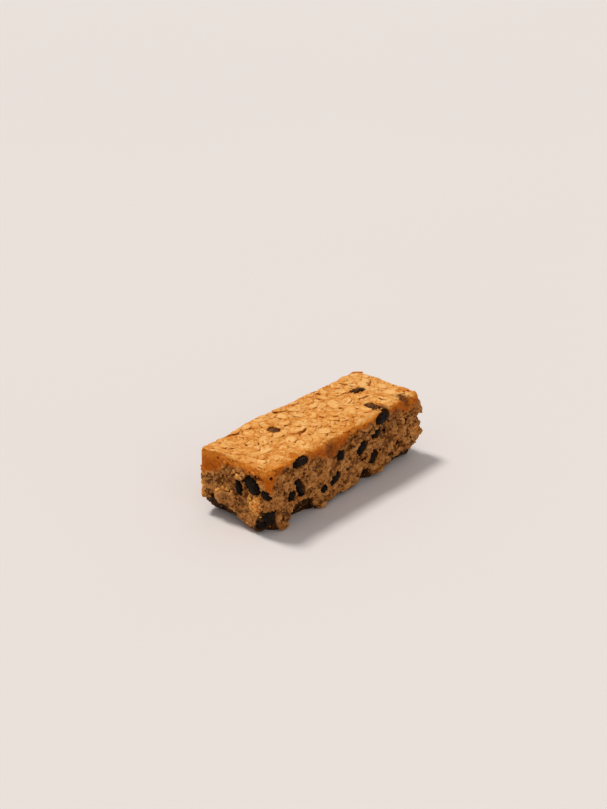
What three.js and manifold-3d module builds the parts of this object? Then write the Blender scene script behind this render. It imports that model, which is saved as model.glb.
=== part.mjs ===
// A thick soft-baked oat granola bar with raisins.
// Millimetres, +Z up. The origin is the middle of the underside. +X runs along
// the bar, from its square end to its rounded end.
//
// The bar itself is one solid: a pressed block with a flat underside, a skin of
// rolled oats on top, crumbly cut sides and a broken, undercut foot. Each large
// raisin is a solid of its own, sitting in a pocket that opens at a face.

import * as THREE from "three";
import { mergeVertices } from "three/addons/utils/BufferGeometryUtils.js";
import Module from "manifold-3d";

const wasm = await Module();
wasm.setup();

// ---------------------------------------------------------------- sizes, mm
const LENGTH = 105; // along X
const WIDTH = 38.5; // along Y
const HEIGHT = 32; // along Z

const TOP_EDGE_R = 1.7; // pressed edge round the top
const END_SLANT = 1.3; // the square end runs out towards its back corner
const CORNER_R = { front_left: 1.8, back_left: 1.8, front_right: 2.0, back_right: 6.0 };
const SIDE_WAVE = 0.4; // slow waviness of the cut sides
const CRUMB_DEPTH = 0.9; // depth of the crumb texture
const FLAKE_LENGTH = 8.4; // a rolled oat
const FLAKE_WIDTH = 6.4;
const FLAKE_STEP = 0.55; // how far one flake stands over the next
const FLAKE_PITCH = 4.6;
const POCKET_GAP = 0.32; // clearance round a raisin
const SHELL = 5; // depth of the rays that find the skin
const GRID = { x: 38, y: 14, z: 10 };
const RAISIN_GRID = { around: 8, down: 6 };

// ------------------------------------------------------------------- raisins
// at: centre; r: half sizes; turn: Euler angles, degrees.
const RAISINS = [
  // long front face
  { name: "raisin_01", at: [-31, -17.6, 27.9], r: [4.7, 2.1, 2.2], turn: [0, 2, 0] },
  { name: "raisin_02", at: [24.6, -17.8, 28], r: [4.8, 2.1, 2.7], turn: [0, -12, 0] },
  { name: "raisin_03", at: [20.3, -17.8, 22.5], r: [3.3, 2, 2.2], turn: [0, -25, 0] },
  { name: "raisin_04", at: [10.5, -17.8, 19.2], r: [4.1, 2.1, 2.7], turn: [0, -27, 0] },
  { name: "raisin_05", at: [-4, -17.7, 20.8], r: [2.8, 1.9, 2.3], turn: [0, 20, 0] },
  { name: "raisin_06", at: [18.2, -17.7, 11.4], r: [2.6, 1.9, 3.5], turn: [0, 25, 0] },
  { name: "raisin_07", at: [-8.2, -17.6, 10.9], r: [4.3, 1.9, 2.2], turn: [0, -27, 0] },
  { name: "raisin_08", at: [-15.4, -17.5, 8.9], r: [2.6, 1.8, 1.9], turn: [0, -8, 0] },
  { name: "raisin_09", at: [-31, -17.5, 15.9], r: [2.2, 2, 5.3], turn: [0, -27, 0] },
  { name: "raisin_10", at: [-36.7, -17.5, 14.2], r: [2.4, 1.9, 2.6], turn: [0, 25, 0] },
  { name: "raisin_11", at: [-49, -16.7, 9.6], r: [2.4, 2.4, 4.6], turn: [0, 6, 20] },
  // square end
  { name: "raisin_12", at: [-50.2, -9.2, 21.7], r: [2.1, 4.6, 3.5], turn: [23, 0, 0] },
  { name: "raisin_13", at: [-50.4, -1.7, 18.3], r: [1.9, 1.5, 3.5], turn: [-18, 0, 0] },
  { name: "raisin_14", at: [-50.2, -16.7, 19.6], r: [1.9, 2.2, 2.1], turn: [10, 0, 0] },
  { name: "raisin_15", at: [-50, 11.5, 9.1], r: [2.1, 2.5, 2.6], turn: [-20, 0, 0] },
  { name: "raisin_18", at: [-50, -13.7, 4.6], r: [1.9, 2.5, 2.2], turn: [10, 0, 0] },
  // top
  { name: "raisin_16", at: [34.8, 3.8, 30.2], r: [3.7, 1.9, 1.6], turn: [-4, 2, -14] },
  { name: "raisin_17", at: [-20.5, 5.2, 30.6], r: [2.2, 2.9, 1.4], turn: [4, -3, 12] },
  { name: "raisin_28", at: [25.7, -12.1, 30.4], r: [2.4, 3.9, 1.6], turn: [0, 4, -10] },
  // long back face
  { name: "raisin_19", at: [-39, 17.6, 21.5], r: [3.8, 2, 2.6], turn: [0, 28, 0] },
  { name: "raisin_20", at: [-24.5, 17.5, 11.2], r: [2.6, 1.9, 3.6], turn: [0, -20, 0] },
  { name: "raisin_21", at: [-11, 17.6, 26], r: [3.6, 2, 2.5], turn: [0, 14, 0] },
  { name: "raisin_22", at: [3.5, 17.6, 14], r: [4.2, 2, 2.3], turn: [0, -34, 0] },
  { name: "raisin_23", at: [20.5, 17.5, 23.2], r: [2.8, 1.9, 2.8], turn: [0, 0, 8] },
  { name: "raisin_24", at: [31, 17.4, 12], r: [3.4, 1.9, 2.7], turn: [0, 40, 0] },
  // rounded end
  { name: "raisin_25", at: [50.8, -8.5, 15], r: [2, 3.6, 2.8], turn: [25, 0, 0] },
  { name: "raisin_26", at: [50.9, 1.2, 24], r: [2, 3.7, 2.5], turn: [-20, 0, 0] },
  { name: "raisin_27", at: [50.4, 7.2, 11.8], r: [2.1, 2.6, 3], turn: [15, 0, 0] },
];

// --------------------------------------------------------------- small tools
function generator(seed) {
  let a = seed >>> 0;
  return () => {
    a = (a + 0x6d2b79f5) >>> 0;
    let t = a;
    t = Math.imul(t ^ (t >>> 15), t | 1);
    t ^= t + Math.imul(t ^ (t >>> 7), t | 61);
    return ((t ^ (t >>> 14)) >>> 0) / 4294967296;
  };
}
const clamp = (v, lo, hi) => Math.min(hi, Math.max(lo, v));
const smooth = (lo, hi, v) => {
  const t = clamp((v - lo) / (hi - lo), 0, 1);
  return t * t * (3 - 2 * t);
};
const mix = (a, b, t) => a + (b - a) * t;

// ------------------------------------------------ the block's uneven outline
// How far each wall lies inside the nominal box.
const wave = (s, t, phase) =>
  SIDE_WAVE * (1 + 0.55 * Math.sin(0.19 * s + phase) + 0.3 * Math.sin(0.43 * s + 0.31 * t + 2.1 * phase) + 0.15 * Math.sin(0.9 * t - 0.6 * s + phase));

// 1 between a and b, 0 outside, with soft shoulders.
const span = (a, b, v) => smooth(a - 1.5, a + 1.5, v) * (1 - smooth(b - 1.5, b + 1.5, v));

// The foot is broken away: [height, depth] of the undercut along each wall.
// The front wall has two deep notches and a cut-away corner, with a standing
// foot beside each.
function undercut(wall, s) {
  if (wall === "front") {
    const notch = Math.max(span(-36.4, -22, s) * (1 - 0.3 * smooth(-29, -21, s)), 0.88 * span(9.8, 16.2, s), 1.3 * span(-56, -45.8, s));
    const foot = Math.max(span(-44.6, -39.2, s), span(-19.4, -15.4, s));
    const high = 3.3 + 3 * smooth(26.5, 30, s) + 2 * smooth(46, 52, s) + 7 * notch - 2.5 * foot + 0.4 * Math.sin(0.8 * s);
    return [Math.max(high, 0.3), 3.2 + 1.5 * smooth(24, 46, s) + 2.3 * notch];
  }
  if (wall === "back") return [4.4 + 2.6 * span(8, 20, s) + 1.1 * Math.sin(0.27 * s + 1) + 0.5 * Math.sin(0.9 * s), 3.4];
  if (wall === "left") return [mix(2.0, 8.2, smooth(-12, 12, s)) + 0.5 * Math.sin(0.6 * s), mix(1.6, 5.6, smooth(-12, 12, s))];
  return [6.6 + 0.9 * Math.sin(0.5 * s), 4.6];
}
function footInset(wall, s, z) {
  const [high, deep] = undercut(wall, s);
  return z >= high ? 0 : deep * Math.pow(1 - z / high, 0.6);
}
const bell = (v, c, w) => Math.exp(-(((v - c) / w) ** 2));
// The pressed top, with its front edge worn down near the far end.
const topDrop = (x, y) =>
  1.8 * bell(x, 44, 4.5) * smooth(-14.8, -19.2, y) + 0.9 - 0.75 * bell(x, -20, 17) * smooth(-8, 15, y) + 0.7 * bell(x, 27, 8) * smooth(-2, 14, y) + 0.22 * Math.sin(0.16 * x + 0.6) + 0.16 * Math.sin(0.23 * y + 0.07 * x);

// Single swellings (+) and hollows (-) of the cut faces.
const SWELLS = [
  { at: [52.5, -19, 29.8], r: 3.6, h: -1.1 },
  { at: [52.4, -18, 25.2], r: 2.2, h: -0.8 },
  { at: [52.4, -18, 21.4], r: 1.9, h: 1.5 },
  { at: [52.4, -18, 18.4], r: 2.1, h: -2.4 },
  { at: [52.4, -18, 15.9], r: 1.3, h: 0.7 },
  { at: [52.4, -18, 13.7], r: 1.7, h: -1.3 },
  { at: [52.4, -18, 11.2], r: 1.9, h: 1 },
  { at: [52.4, -18, 7.4], r: 2.4, h: -1.4 },
  { at: [32.6, -19, 23.4], r: 4.6, h: -1 },
  { at: [-10.6, -19, 27], r: 4.2, h: -0.7 },
  { at: [-51.8, 6.3, 11.2], r: 3.8, h: 1.3 },
  { at: [-51.6, 0.6, 9], r: 2.6, h: -1.2 },
  { at: [-51.6, -10.6, 13], r: 4.4, h: 1.1 },
  { at: [-51.6, -5, 18], r: 2.6, h: -1 },
  { at: [14, 19, 20], r: 4.5, h: -0.9 },
  { at: [-30, 19, 16], r: 3.6, h: 0.9 },
  { at: [52.4, 9, 18], r: 3.6, h: 0.8 },
];

// ------------------------------------------------------------ crumbs, flakes
const CRUMBS = (() => {
  const next = generator(20117);
  const list = [];
  for (let i = 0; i < 520; i++) {
    const long = next() < 0.73;
    const side = next() < 0.5 ? -1 : 1;
    const z = mix(1.5, HEIGHT - 3.5, next());
    const s = mix(-1, 1, next());
    list.push({
      x: long ? s * (LENGTH / 2) : side * (LENGTH / 2),
      y: long ? side * (WIDTH / 2) : s * (WIDTH / 2),
      z,
      r: mix(1.6, 4.2, next() * next()),
      h: mix(-1, 1, next()),
    });
  }
  return list;
})();
function crumb(x, y, z) {
  let sum = 0;
  for (const c of CRUMBS) {
    const k = ((x - c.x) ** 2 + (y - c.y) ** 2 + (z - c.z) ** 2) / (c.r * c.r);
    if (k < 3) sum += c.h * Math.exp(-k * 1.6);
  }
  let swell = 0;
  for (const { at, r, h } of SWELLS) swell += h * Math.exp(-((x - at[0]) ** 2 + (y - at[1]) ** 2 + (z - at[2]) ** 2) / (r * r));
  return clamp(sum, -1, 1) * CRUMB_DEPTH * (1 - smooth(HEIGHT - 5, HEIGHT - 1.5, z)) + swell;
}

// Rolled oats lie on a shaken grid, each with its own heading, tilt and level.
const FLAKES = (() => {
  const next = generator(4409);
  const list = [];
  for (let x = -LENGTH / 2; x <= LENGTH / 2; x += FLAKE_PITCH)
    for (let y = -WIDTH / 2; y <= WIDTH / 2; y += FLAKE_PITCH) {
      const size = mix(0.72, 1.12, next());
      const heading = next() * Math.PI;
      list.push({
        x: x + (next() - 0.5) * FLAKE_PITCH,
        y: y + (next() - 0.5) * FLAKE_PITCH,
        a: (FLAKE_LENGTH / 2) * size,
        b: (FLAKE_WIDTH / 2) * size,
        c: Math.cos(heading),
        s: Math.sin(heading),
        tx: (next() - 0.5) * 0.12,
        ty: (next() - 0.5) * 0.12,
        level: next(),
      });
    }
  return list;
})();
function flakes(x, y) {
  let best = -1;
  for (const f of FLAKES) {
    const dx = x - f.x,
      dy = y - f.y;
    const u = (dx * f.c + dy * f.s) / f.a,
      v = (-dx * f.s + dy * f.c) / f.b;
    const k = u * u + v * v;
    if (k < 1) best = Math.max(best, FLAKE_STEP * (f.level - 1) + f.tx * dx + f.ty * dy - 0.25 * k * k);
  }
  const edge = Math.min(LENGTH / 2 - Math.abs(x), WIDTH / 2 - Math.abs(y));
  return clamp(best, -0.8, 0) * smooth(0.8, 3.5, edge);
}

// ------------------------------------------------- distance to the bar's skin
function bar(x, y, z) {
  const top = HEIGHT - topDrop(x, y) + flakes(x, y);
  const left = -LENGTH / 2 + END_SLANT * (1 - smooth(2, 18, y)) + wave(y, z, 0.4) + footInset("left", y, z);
  const right = LENGTH / 2 - wave(y, z, 2.2) - footInset("right", y, z);
  const front = -WIDTH / 2 + wave(x, z, 1.1) + footInset("front", x, z);
  const back = WIDTH / 2 - wave(x, z, 3.0) - footInset("back", x, z);
  // plan: rounded corners
  const dx = x < 0 ? left - x : x - right;
  const dy = y < 0 ? front - y : y - back;
  const r = CORNER_R[(y < 0 ? "front_" : "back_") + (x < 0 ? "left" : "right")];
  const plan = dx > -r && dy > -r ? Math.hypot(dx + r, dy + r) - r : Math.max(dx, dy);
  const side = plan - crumb(x, y, z);
  // top edge
  const up = z - top;
  const rim = TOP_EDGE_R;
  const body = side > -rim && up > -rim ? Math.hypot(side + rim, up + rim) - rim : Math.max(side, up);
  return Math.max(body, -z);
}

// ------------------------------------------------------------------ geometry
// A geometry as one closed solid, its shared vertices merged.
function toSolid(geometry) {
  const plain = geometry.clone();
  plain.deleteAttribute("normal");
  plain.deleteAttribute("uv");
  const merged = mergeVertices(plain, 1e-4);
  return new wasm.Manifold(
    new wasm.Mesh({
      numProp: 3,
      vertProperties: new Float32Array(merged.attributes.position.array),
      triVerts: new Uint32Array(merged.index.array),
    }),
  );
}
function toGeometry(solid) {
  const mesh = solid.getMesh();
  const position = new Float32Array(mesh.numVert * 3);
  for (let i = 0; i < mesh.numVert; i++)
    for (let k = 0; k < 3; k++) position[3 * i + k] = mesh.vertProperties[i * mesh.numProp + k];
  const geometry = new THREE.BufferGeometry();
  geometry.setAttribute("position", new THREE.BufferAttribute(position, 3));
  geometry.setIndex(new THREE.BufferAttribute(new Uint32Array(mesh.triVerts), 1));
  geometry.computeVertexNormals();
  return geometry;
}

// The block: each point of a grid on a box runs out along its own ray until it
// meets the skin.
function blockGeometry() {
  const geometry = new THREE.BoxGeometry(LENGTH, WIDTH, HEIGHT, GRID.x, GRID.y, GRID.z);
  geometry.translate(0, 0, HEIGHT / 2);
  const p = geometry.attributes.position;
  const core = { x: LENGTH / 2 - SHELL - 3, y: WIDTH / 2 - SHELL - 1, low: SHELL, high: HEIGHT - SHELL };
  for (let i = 0; i < p.count; i++) {
    const x = p.getX(i),
      y = p.getY(i),
      z = p.getZ(i);
    const sx = clamp(x, -core.x, core.x),
      sy = clamp(y, -core.y, core.y),
      sz = clamp(z, core.low, core.high);
    const dx = x - sx,
      dy = y - sy,
      dz = z - sz;
    let lo = 0,
      hi = 1.25;
    for (let n = 0; n < 24; n++) {
      const t = (lo + hi) / 2;
      if (bar(sx + dx * t, sy + dy * t, sz + dz * t) < 0) lo = t;
      else hi = t;
    }
    const nz = sz + dz * lo;
    p.setXYZ(i, sx + dx * lo, sy + dy * lo, nz < 0.02 ? 0 : nz);
  }
  // The relief eats a little off each side, so the block is set back on its sizes.
  geometry.computeBoundingBox();
  const b = geometry.boundingBox;
  geometry.translate(-(b.min.x + b.max.x) / 2, -(b.min.y + b.max.y) / 2, 0);
  geometry.scale(LENGTH / (b.max.x - b.min.x), WIDTH / (b.max.y - b.min.y), HEIGHT / b.max.z);
  return geometry;
}

// A raisin: a flattened egg with long folds in its skin.
function raisinGeometry(spec, index, grow) {
  const geometry = new THREE.SphereGeometry(1, RAISIN_GRID.around, RAISIN_GRID.down);
  const p = geometry.attributes.position;
  const phase = index * 1.7;
  for (let i = 0; i < p.count; i++) {
    const v = new THREE.Vector3().fromBufferAttribute(p, i).normalize();
    const around = Math.atan2(v.z, v.x);
    const belt = 1 - v.y * v.y;
    const fold = 1 - 0.07 * belt * (1 + Math.sin(3 * around + phase + 1.4 * v.y)) - 0.03 * Math.sin(5 * v.y + phase);
    v.multiplyScalar(fold);
    p.setXYZ(i, v.x * (spec.r[0] + grow), v.y * (spec.r[1] + grow), v.z * (spec.r[2] + grow));
  }
  const [tx, ty, tz] = spec.turn.map((deg) => (deg * Math.PI) / 180);
  geometry.applyMatrix4(new THREE.Matrix4().makeRotationFromEuler(new THREE.Euler(tx, ty, tz)));
  return geometry;
}

// ------------------------------------------------------------------ assembly
const oatMaterial = new THREE.MeshStandardMaterial({ color: 0xb4793c, roughness: 0.62, metalness: 0 });
const raisinMaterial = new THREE.MeshStandardMaterial({ color: 0x1f1511, roughness: 0.38, metalness: 0 });

const granolaBar = new THREE.Group();

let block = toSolid(blockGeometry());
RAISINS.forEach((spec, index) => {
  const geometry = raisinGeometry(spec, index, 0);
  const mesh = new THREE.Mesh(geometry, raisinMaterial);
  mesh.name = spec.name;
  mesh.position.set(...spec.at);
  granolaBar.add(mesh);

  const pocket = raisinGeometry(spec, index, POCKET_GAP);
  pocket.translate(...spec.at);
  block = block.subtract(toSolid(pocket));
});

const barMesh = new THREE.Mesh(toGeometry(block), oatMaterial);
barMesh.name = "bar";
granolaBar.add(barMesh);

export default granolaBar;
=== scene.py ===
"""A thick soft-baked oat granola bar with raisins, lying on its underside.

All shapes are worked out in millimetres in the CAD's frame and scaled to
metres when a mesh is made. The bar is grown as a distance field on a grid:
the CAD's own form, set back a little, then filled out again with oat flakes
on top and crumb at the sides, with pits and raisin pockets cut in. The top
has a finer grid than the sides. Loose flakes, crumb grains, raisins and syrup
beads are meshes of their own; the beads are glossy and painted pale grey, a
painted highlight that stands for glints.
"""

import math
import time
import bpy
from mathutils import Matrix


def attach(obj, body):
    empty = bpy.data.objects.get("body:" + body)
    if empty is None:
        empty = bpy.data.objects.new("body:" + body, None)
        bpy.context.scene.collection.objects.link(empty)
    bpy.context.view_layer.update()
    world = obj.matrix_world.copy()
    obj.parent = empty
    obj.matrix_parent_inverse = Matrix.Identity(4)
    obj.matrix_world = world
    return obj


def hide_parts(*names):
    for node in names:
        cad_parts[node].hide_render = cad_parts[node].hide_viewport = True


START = time.time()
import bmesh
import bpy
import numpy as np
import openvdb
from mathutils import Matrix, Vector

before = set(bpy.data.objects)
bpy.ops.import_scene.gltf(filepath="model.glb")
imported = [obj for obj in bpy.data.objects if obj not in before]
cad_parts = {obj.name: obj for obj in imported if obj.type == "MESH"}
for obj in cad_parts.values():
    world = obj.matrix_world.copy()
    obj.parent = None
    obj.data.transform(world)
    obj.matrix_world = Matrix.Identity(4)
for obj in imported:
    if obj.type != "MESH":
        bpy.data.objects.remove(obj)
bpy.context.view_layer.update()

F = np.float32
MM = 0.001

# ------------------------------------------------------------ the bar's sizes
LENGTH, WIDTH, HEIGHT = 105.0, 38.5, 32.0
END_SLANT = 1.3  # the square end runs out towards its back corner
TOP_EDGE_R = 1.7
CORNER_R = {"fl": 1.8, "bl": 1.8, "fr": 2.0, "br": 6.0}
SIDE_WAVE = 0.4
SIDE_CELL = 0.305  # grid pitch of the sides' field
TOP_CELL = 0.25  # and of the top's
LO = np.array([-55.5, -21.5, -1.5])
HI = np.array([55.5, 21.5, 34.0])
SPLIT = 26.4  # the top's mesh starts here
TOP_LO = 25.0

# name: centre, half sizes, Euler turn in degrees, how much dough coats it
RAISINS = {
    "raisin_01": ((-31, -17.6, 27.9), (4.7, 2.1, 2.2), (0, 2, 0), 0.07),
    "raisin_02": ((24.6, -17.8, 28), (4.8, 2.1, 2.7), (0, -12, 0), 0.06),
    "raisin_03": ((20.3, -17.8, 22.5), (3.3, 2, 2.2), (0, -25, 0), 0.0),
    "raisin_04": ((10.5, -17.8, 19.2), (4.1, 2.1, 2.7), (0, -27, 0), 0.0),
    "raisin_05": ((-4, -17.7, 20.8), (2.8, 1.9, 2.3), (0, 20, 0), 0.0),
    "raisin_06": ((18.2, -17.7, 11.4), (2.6, 1.9, 3.5), (0, 25, 0), 0.0),
    "raisin_07": ((-8.2, -17.6, 10.9), (4.3, 1.9, 2.2), (0, -27, 0), 0.0),
    "raisin_08": ((-15.4, -17.5, 8.9), (2.6, 1.8, 1.9), (0, -8, 0), 0.0),
    "raisin_09": ((-31, -17.5, 15.9), (2.2, 2, 5.3), (0, -27, 0), 0.0),
    "raisin_10": ((-36.7, -17.5, 14.2), (2.4, 1.9, 2.6), (0, 25, 0), 0.0),
    "raisin_11": ((-49, -16.7, 9.6), (2.4, 2.4, 4.6), (0, 6, 20), 0.0),
    "raisin_12": ((-50.2, -9.2, 21.7), (2.1, 4.6, 3.5), (23, 0, 0), 0.0),
    "raisin_13": ((-50.4, -1.7, 18.3), (1.9, 1.5, 3.5), (-18, 0, 0), 0.0),
    "raisin_14": ((-50.2, -16.7, 19.6), (1.9, 2.2, 2.1), (10, 0, 0), 0.0),
    "raisin_15": ((-50, 11.5, 9.1), (2.1, 2.5, 2.6), (-20, 0, 0), 0.0),
    "raisin_18": ((-50, -13.7, 4.6), (1.9, 2.5, 2.2), (10, 0, 0), 0.0),
    "raisin_16": ((34.8, 3.8, 30.2), (3.7, 1.9, 1.6), (-4, 2, -14), 0.3),
    "raisin_17": ((-20.5, 5.2, 30.6), (2.2, 2.9, 1.4), (4, -3, 12), 0.6),
    "raisin_28": ((25.7, -12.1, 30.4), (2.4, 3.9, 1.6), (0, 4, -10), 0.5),
    "raisin_19": ((-39, 17.6, 21.5), (3.8, 2, 2.6), (0, 28, 0), 0.0),
    "raisin_20": ((-24.5, 17.5, 11.2), (2.6, 1.9, 3.6), (0, -20, 0), 0.0),
    "raisin_21": ((-11, 17.6, 26), (3.6, 2, 2.5), (0, 14, 0), 0.1),
    "raisin_22": ((3.5, 17.6, 14), (4.2, 2, 2.3), (0, -34, 0), 0.0),
    "raisin_23": ((20.5, 17.5, 23.2), (2.8, 1.9, 2.8), (0, 0, 8), 0.0),
    "raisin_24": ((31, 17.4, 12), (3.4, 1.9, 2.7), (0, 40, 0), 0.0),
    "raisin_25": ((50.8, -8.5, 15), (2, 3.6, 2.8), (25, 0, 0), 0.0),
    "raisin_26": ((50.9, 1.2, 24), (2, 3.7, 2.5), (-20, 0, 0), 0.0),
    "raisin_27": ((50.4, 7.2, 11.8), (2.1, 2.6, 3), (15, 0, 0), 0.0),
}

# The oats that stand out in the top: x, y, length, width, heading in degrees.
TOP_OATS = [
    (43.9, 8.8, 8.8, 6.2, 123), (49.0, 10.4, 5.0, 3.6, 37), (45.8, -1.4, 7.0, 5.5, 62), (34.6, 15.2, 8.0, 5.0, 24),
    (25.1, 15.0, 9.0, 5.6, 36), (11.7, 13.2, 8.8, 5.0, 23), (16.7, 3.2, 8.9, 6.6, 58), (24.0, 1.2, 8.3, 5.2, 39),
    (15.7, -7.2, 9.8, 7.2, 30), (22.0, -11.0, 9.2, 6.2, 62), (30.0, -0.8, 7.4, 5.7, 159), (37.1, -9.5, 8.8, 5.4, 38),
    (10.2, 9.2, 8.6, 4.6, 25), (14.6, -15.4, 8.4, 5.2, 17), (5.9, -14.8, 9.0, 5.4, 23), (-14.1, -13.0, 9.2, 6.6, 22),
    (-8.4, 0.4, 7.0, 5.6, 129), (-14.4, -1.4, 8.8, 6.2, 27), (-4.4, -4.2, 7.2, 5.4, 40), (-12.7, 5.9, 7.4, 5.3, 1),
    (-30.8, 2.2, 8.8, 5.4, 41), (-23.6, 1.0, 7.8, 4.8, 147), (-29.7, 11.4, 8.2, 6.2, 46), (-38.6, 9.6, 8.5, 5.2, 145),
    (-43.2, 1.3, 8.7, 5.2, 130), (-36.2, -3.8, 8.9, 5.6, 3), (-22.6, -13.6, 8.8, 6.8, 40), (-45.2, 11.0, 7.4, 5.2, 84),
    (-18.4, 14.6, 8.4, 5.2, 18), (-30.3, -8.0, 6.8, 5.0, 11), (-22.4, -6.0, 7.6, 5.6, 18), (-46.4, -5.6, 8.2, 6.0, 73),
    (-38.4, -11.2, 8.9, 5.6, 13), (-31.4, -14.6, 8.4, 4.8, 19), (2.0, 3.6, 8.6, 5.8, 70), (4.8, -6.0, 8.2, 5.6, 110),
    (-6.6, -11.6, 8.4, 5.6, 150), (1.4, 12.4, 8.6, 5.6, 155), (-8.6, 11.8, 8.2, 5.8, 95), (33.0, -12.6, 8.4, 5.4, 160),
    (38.4, 10.6, 7.6, 5.4, 70), (43.2, -8.0, 7.2, 5.2, 120), (-47.0, -12.4, 7.8, 5.4, 25), (19.0, 10.4, 8.0, 5.2, 110),
]

BLUNT = 2.8  # a raisin is fuller than an egg of the same half sizes

# Narrow dark gaps between the top's flakes, as lines of x, y and a width.
TOP_GAPS = [
    ([(-28.7, 5.2), (-34.1, 2.0), (-36.7, -1.4), (-41.4, -3.4)], 0.30),
    ([(-15.4, -5.4), (-13.4, -5.2), (-10.5, -4.3)], 0.50),
    ([(2.8, 11.0), (4.8, 8.6)], 0.30),
    ([(-19.1, 18.0), (-17.7, 16.9)], 0.35),
    ([(-48.1, 2.2), (-44.8, -1.0)], 0.30),
    ([(-38.4, -9.1), (-35.3, -10.1)], 0.35),
    ([(28.0, 6.6), (31.2, 4.9)], 0.50),
    ([(37.9, 2.8), (43.9, 3.4)], 0.55),
    ([(12.8, -15.6), (9.0, -14.1), (8.1, -11.5)], 0.28),
    ([(15.6, -1.9), (15.5, -4.9)], 0.28),
    ([(-46.5, 9.2), (-43.8, 7.9)], 0.32),
    ([(29.5, 11.0), (36.0, 11.6), (40.0, 9.4)], 0.30),
]
# Small dark pits of the top: x, y, radius.
TOP_PITS = [
    (0.8, 15.7, 0.55), (-26.1, 9.1, 0.5), (-27.7, 5.6, 0.6), (-20.3, -5.8, 0.5), (-38.3, 5.2, 0.5), (-44.2, 14.8, 0.45),
    (-34.1, 7.7, 0.4), (-34.6, 12.5, 0.4), (-28.9, -0.9, 0.55), (-4.0, 16.1, 0.5), (-49.9, 13.7, 0.5), (-46.5, 9.2, 0.5),
    (-45.1, -8.4, 0.45), (9.9, 4.0, 1.0), (-1.1, -0.1, 0.8), (8.9, -9.4, 0.5), (12.3, -12.2, 0.55), (-9.1, -14.7, 0.6),
    (-14.8, -5.2, 0.6), (-1.2, -10.3, 0.5), (43.7, 4.1, 0.7), (46.0, -11.0, 0.5), (21.0, 14.4, 0.5), (-7.0, -8.0, 0.4),
]
# Holes of the front face (x, z) and of the square end (y, z): half width, half height.
FRONT_HOLES = [
    (11.4, 13.1, 2.6, 1.1), (1.8, 16.7, 1.2, 0.4), (-26.7, 19.5, 1.1, 0.7), (1.0, 12.1, 1.4, 0.8), (22.4, 13.6, 1.4, 0.9), (-11.2, 10.7, 1.6, 1.0),
    (41.4, 20.9, 1.0, 1.6), (30.3, 24.6, 1.0, 0.6), (35.4, 11.6, 1.7, 1.3), (28.9, 12.8, 1.2, 0.6), (45.8, 11.1, 1.1, 1.0), (-42.5, 10.9, 1.2, 0.8),
    (-35.9, 22.8, 0.7, 0.7), (-49.6, 27.6, 0.8, 0.9), (31.0, 7.5, 2.4, 1.6), (-33.6, 19.6, 1.9, 0.7), (-21.6, 12.4, 0.7, 1.2), (6.2, 9.4, 0.9, 0.7),
]
END_HOLES = [(-8.0, 27.6, 0.6, 0.5), (-11.4, 26.4, 0.8, 0.8), (-3.4, 21.8, 1.3, 0.8), (6.3, 10.9, 0.9, 0.35), (4.2, 10.8, 0.8, 0.4), (2.1, 11.0, 0.9, 0.4), (0.2, 11.3, 0.7, 0.35), (-1.6, 11.5, 0.8, 0.4), (3.2, 12.2, 0.5, 0.3), (0.9, 12.4, 0.5, 0.3), (-12.5, 16.6, 1.0, 0.5), (7.2, 20.4, 0.6, 0.6)]

# Single swellings (+) and hollows (-) of the cut faces: centre, radius, height.
SWELLS = [
    ((52.5, -19, 29.8), 3.6, -1.1),
    ((52.4, -18, 25.2), 2.2, -0.8),
    ((52.4, -18, 21.4), 1.9, 1.5),
    ((52.4, -18, 18.4), 2.1, -2.4),
    ((52.4, -18, 15.9), 1.3, 0.7),
    ((52.4, -18, 13.7), 1.7, -1.3),
    ((52.4, -18, 11.2), 1.9, 1),
    ((52.4, -18, 7.4), 2.4, -1.4),
    ((32.6, -19, 23.4), 4.6, -1),
    ((-10.6, -19, 27), 4.2, -0.7),
    ((-51.8, 6.3, 11.2), 3.8, 1.3),
    ((-51.6, 0.6, 9), 2.6, -1.2),
    ((-51.6, -10.6, 13), 4.4, 1.1),
    ((-51.6, -5, 18), 2.6, -1),
    ((14, 19, 20), 4.5, -0.9),
    ((-30, 19, 16), 3.6, 0.9),
    ((52.4, 9, 18), 3.6, 0.8),
]
# Darker patches, partly soaked dough and partly painted shade in hollows of the cut faces and under the oat that stands
# out of the square end; and spots of painted light, crumb painted lighter and warmer as if caught by the light: centre,
# radius, strength.
STAINS_AND_SHADE = [((-10.9, -19, 26.0), 3.8, 1.35), ((32.6, -19, 23.6), 4.8, 0.9), ((28.6, -19, 20.0), 2.6, 0.6), ((25.8, -16.4, 31.2), 2.4, 1.2), ((24.8, -18.6, 30.4), 2.3, 1.2), ((42.4, -15.2, 31.0), 2.1, 2.4), ((42.0, -17.0, 30.4), 2.5, 2.4), ((42.4, -18.8, 29.0), 1.5, 1.6), ((27.8, -15.4, 31.0), 1.8, 2.4), ((27.6, -17.4, 30.6), 1.7, 2.2), ((-52, 7.6, 18.0), 2.4, 0.6), ((-52, 5.2, 12.4), 1.9, 1.3), ((-52, 2.2, 11.6), 1.9, 1.2), ((-52, 7.6, 11.4), 1.4, 1.0), ((-51.6, -6.2, 18.8), 2.2, 0.9), ((-52, 3.0, 24.5), 3.2, 0.8), ((-52, 7.0, 7.6), 3.4, 0.9), ((-52, -4.6, 17.6), 2.6, 0.9), ((-33, -19, 24.0), 3.2, 0.7), ((-9.5, -19, 14.0), 2.8, 0.6), ((8, 19, 26), 3.4, 0.9), ((-30, 19, 25), 3.0, 0.7), ((52.5, 8, 25), 3.0, 0.8)]
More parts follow.
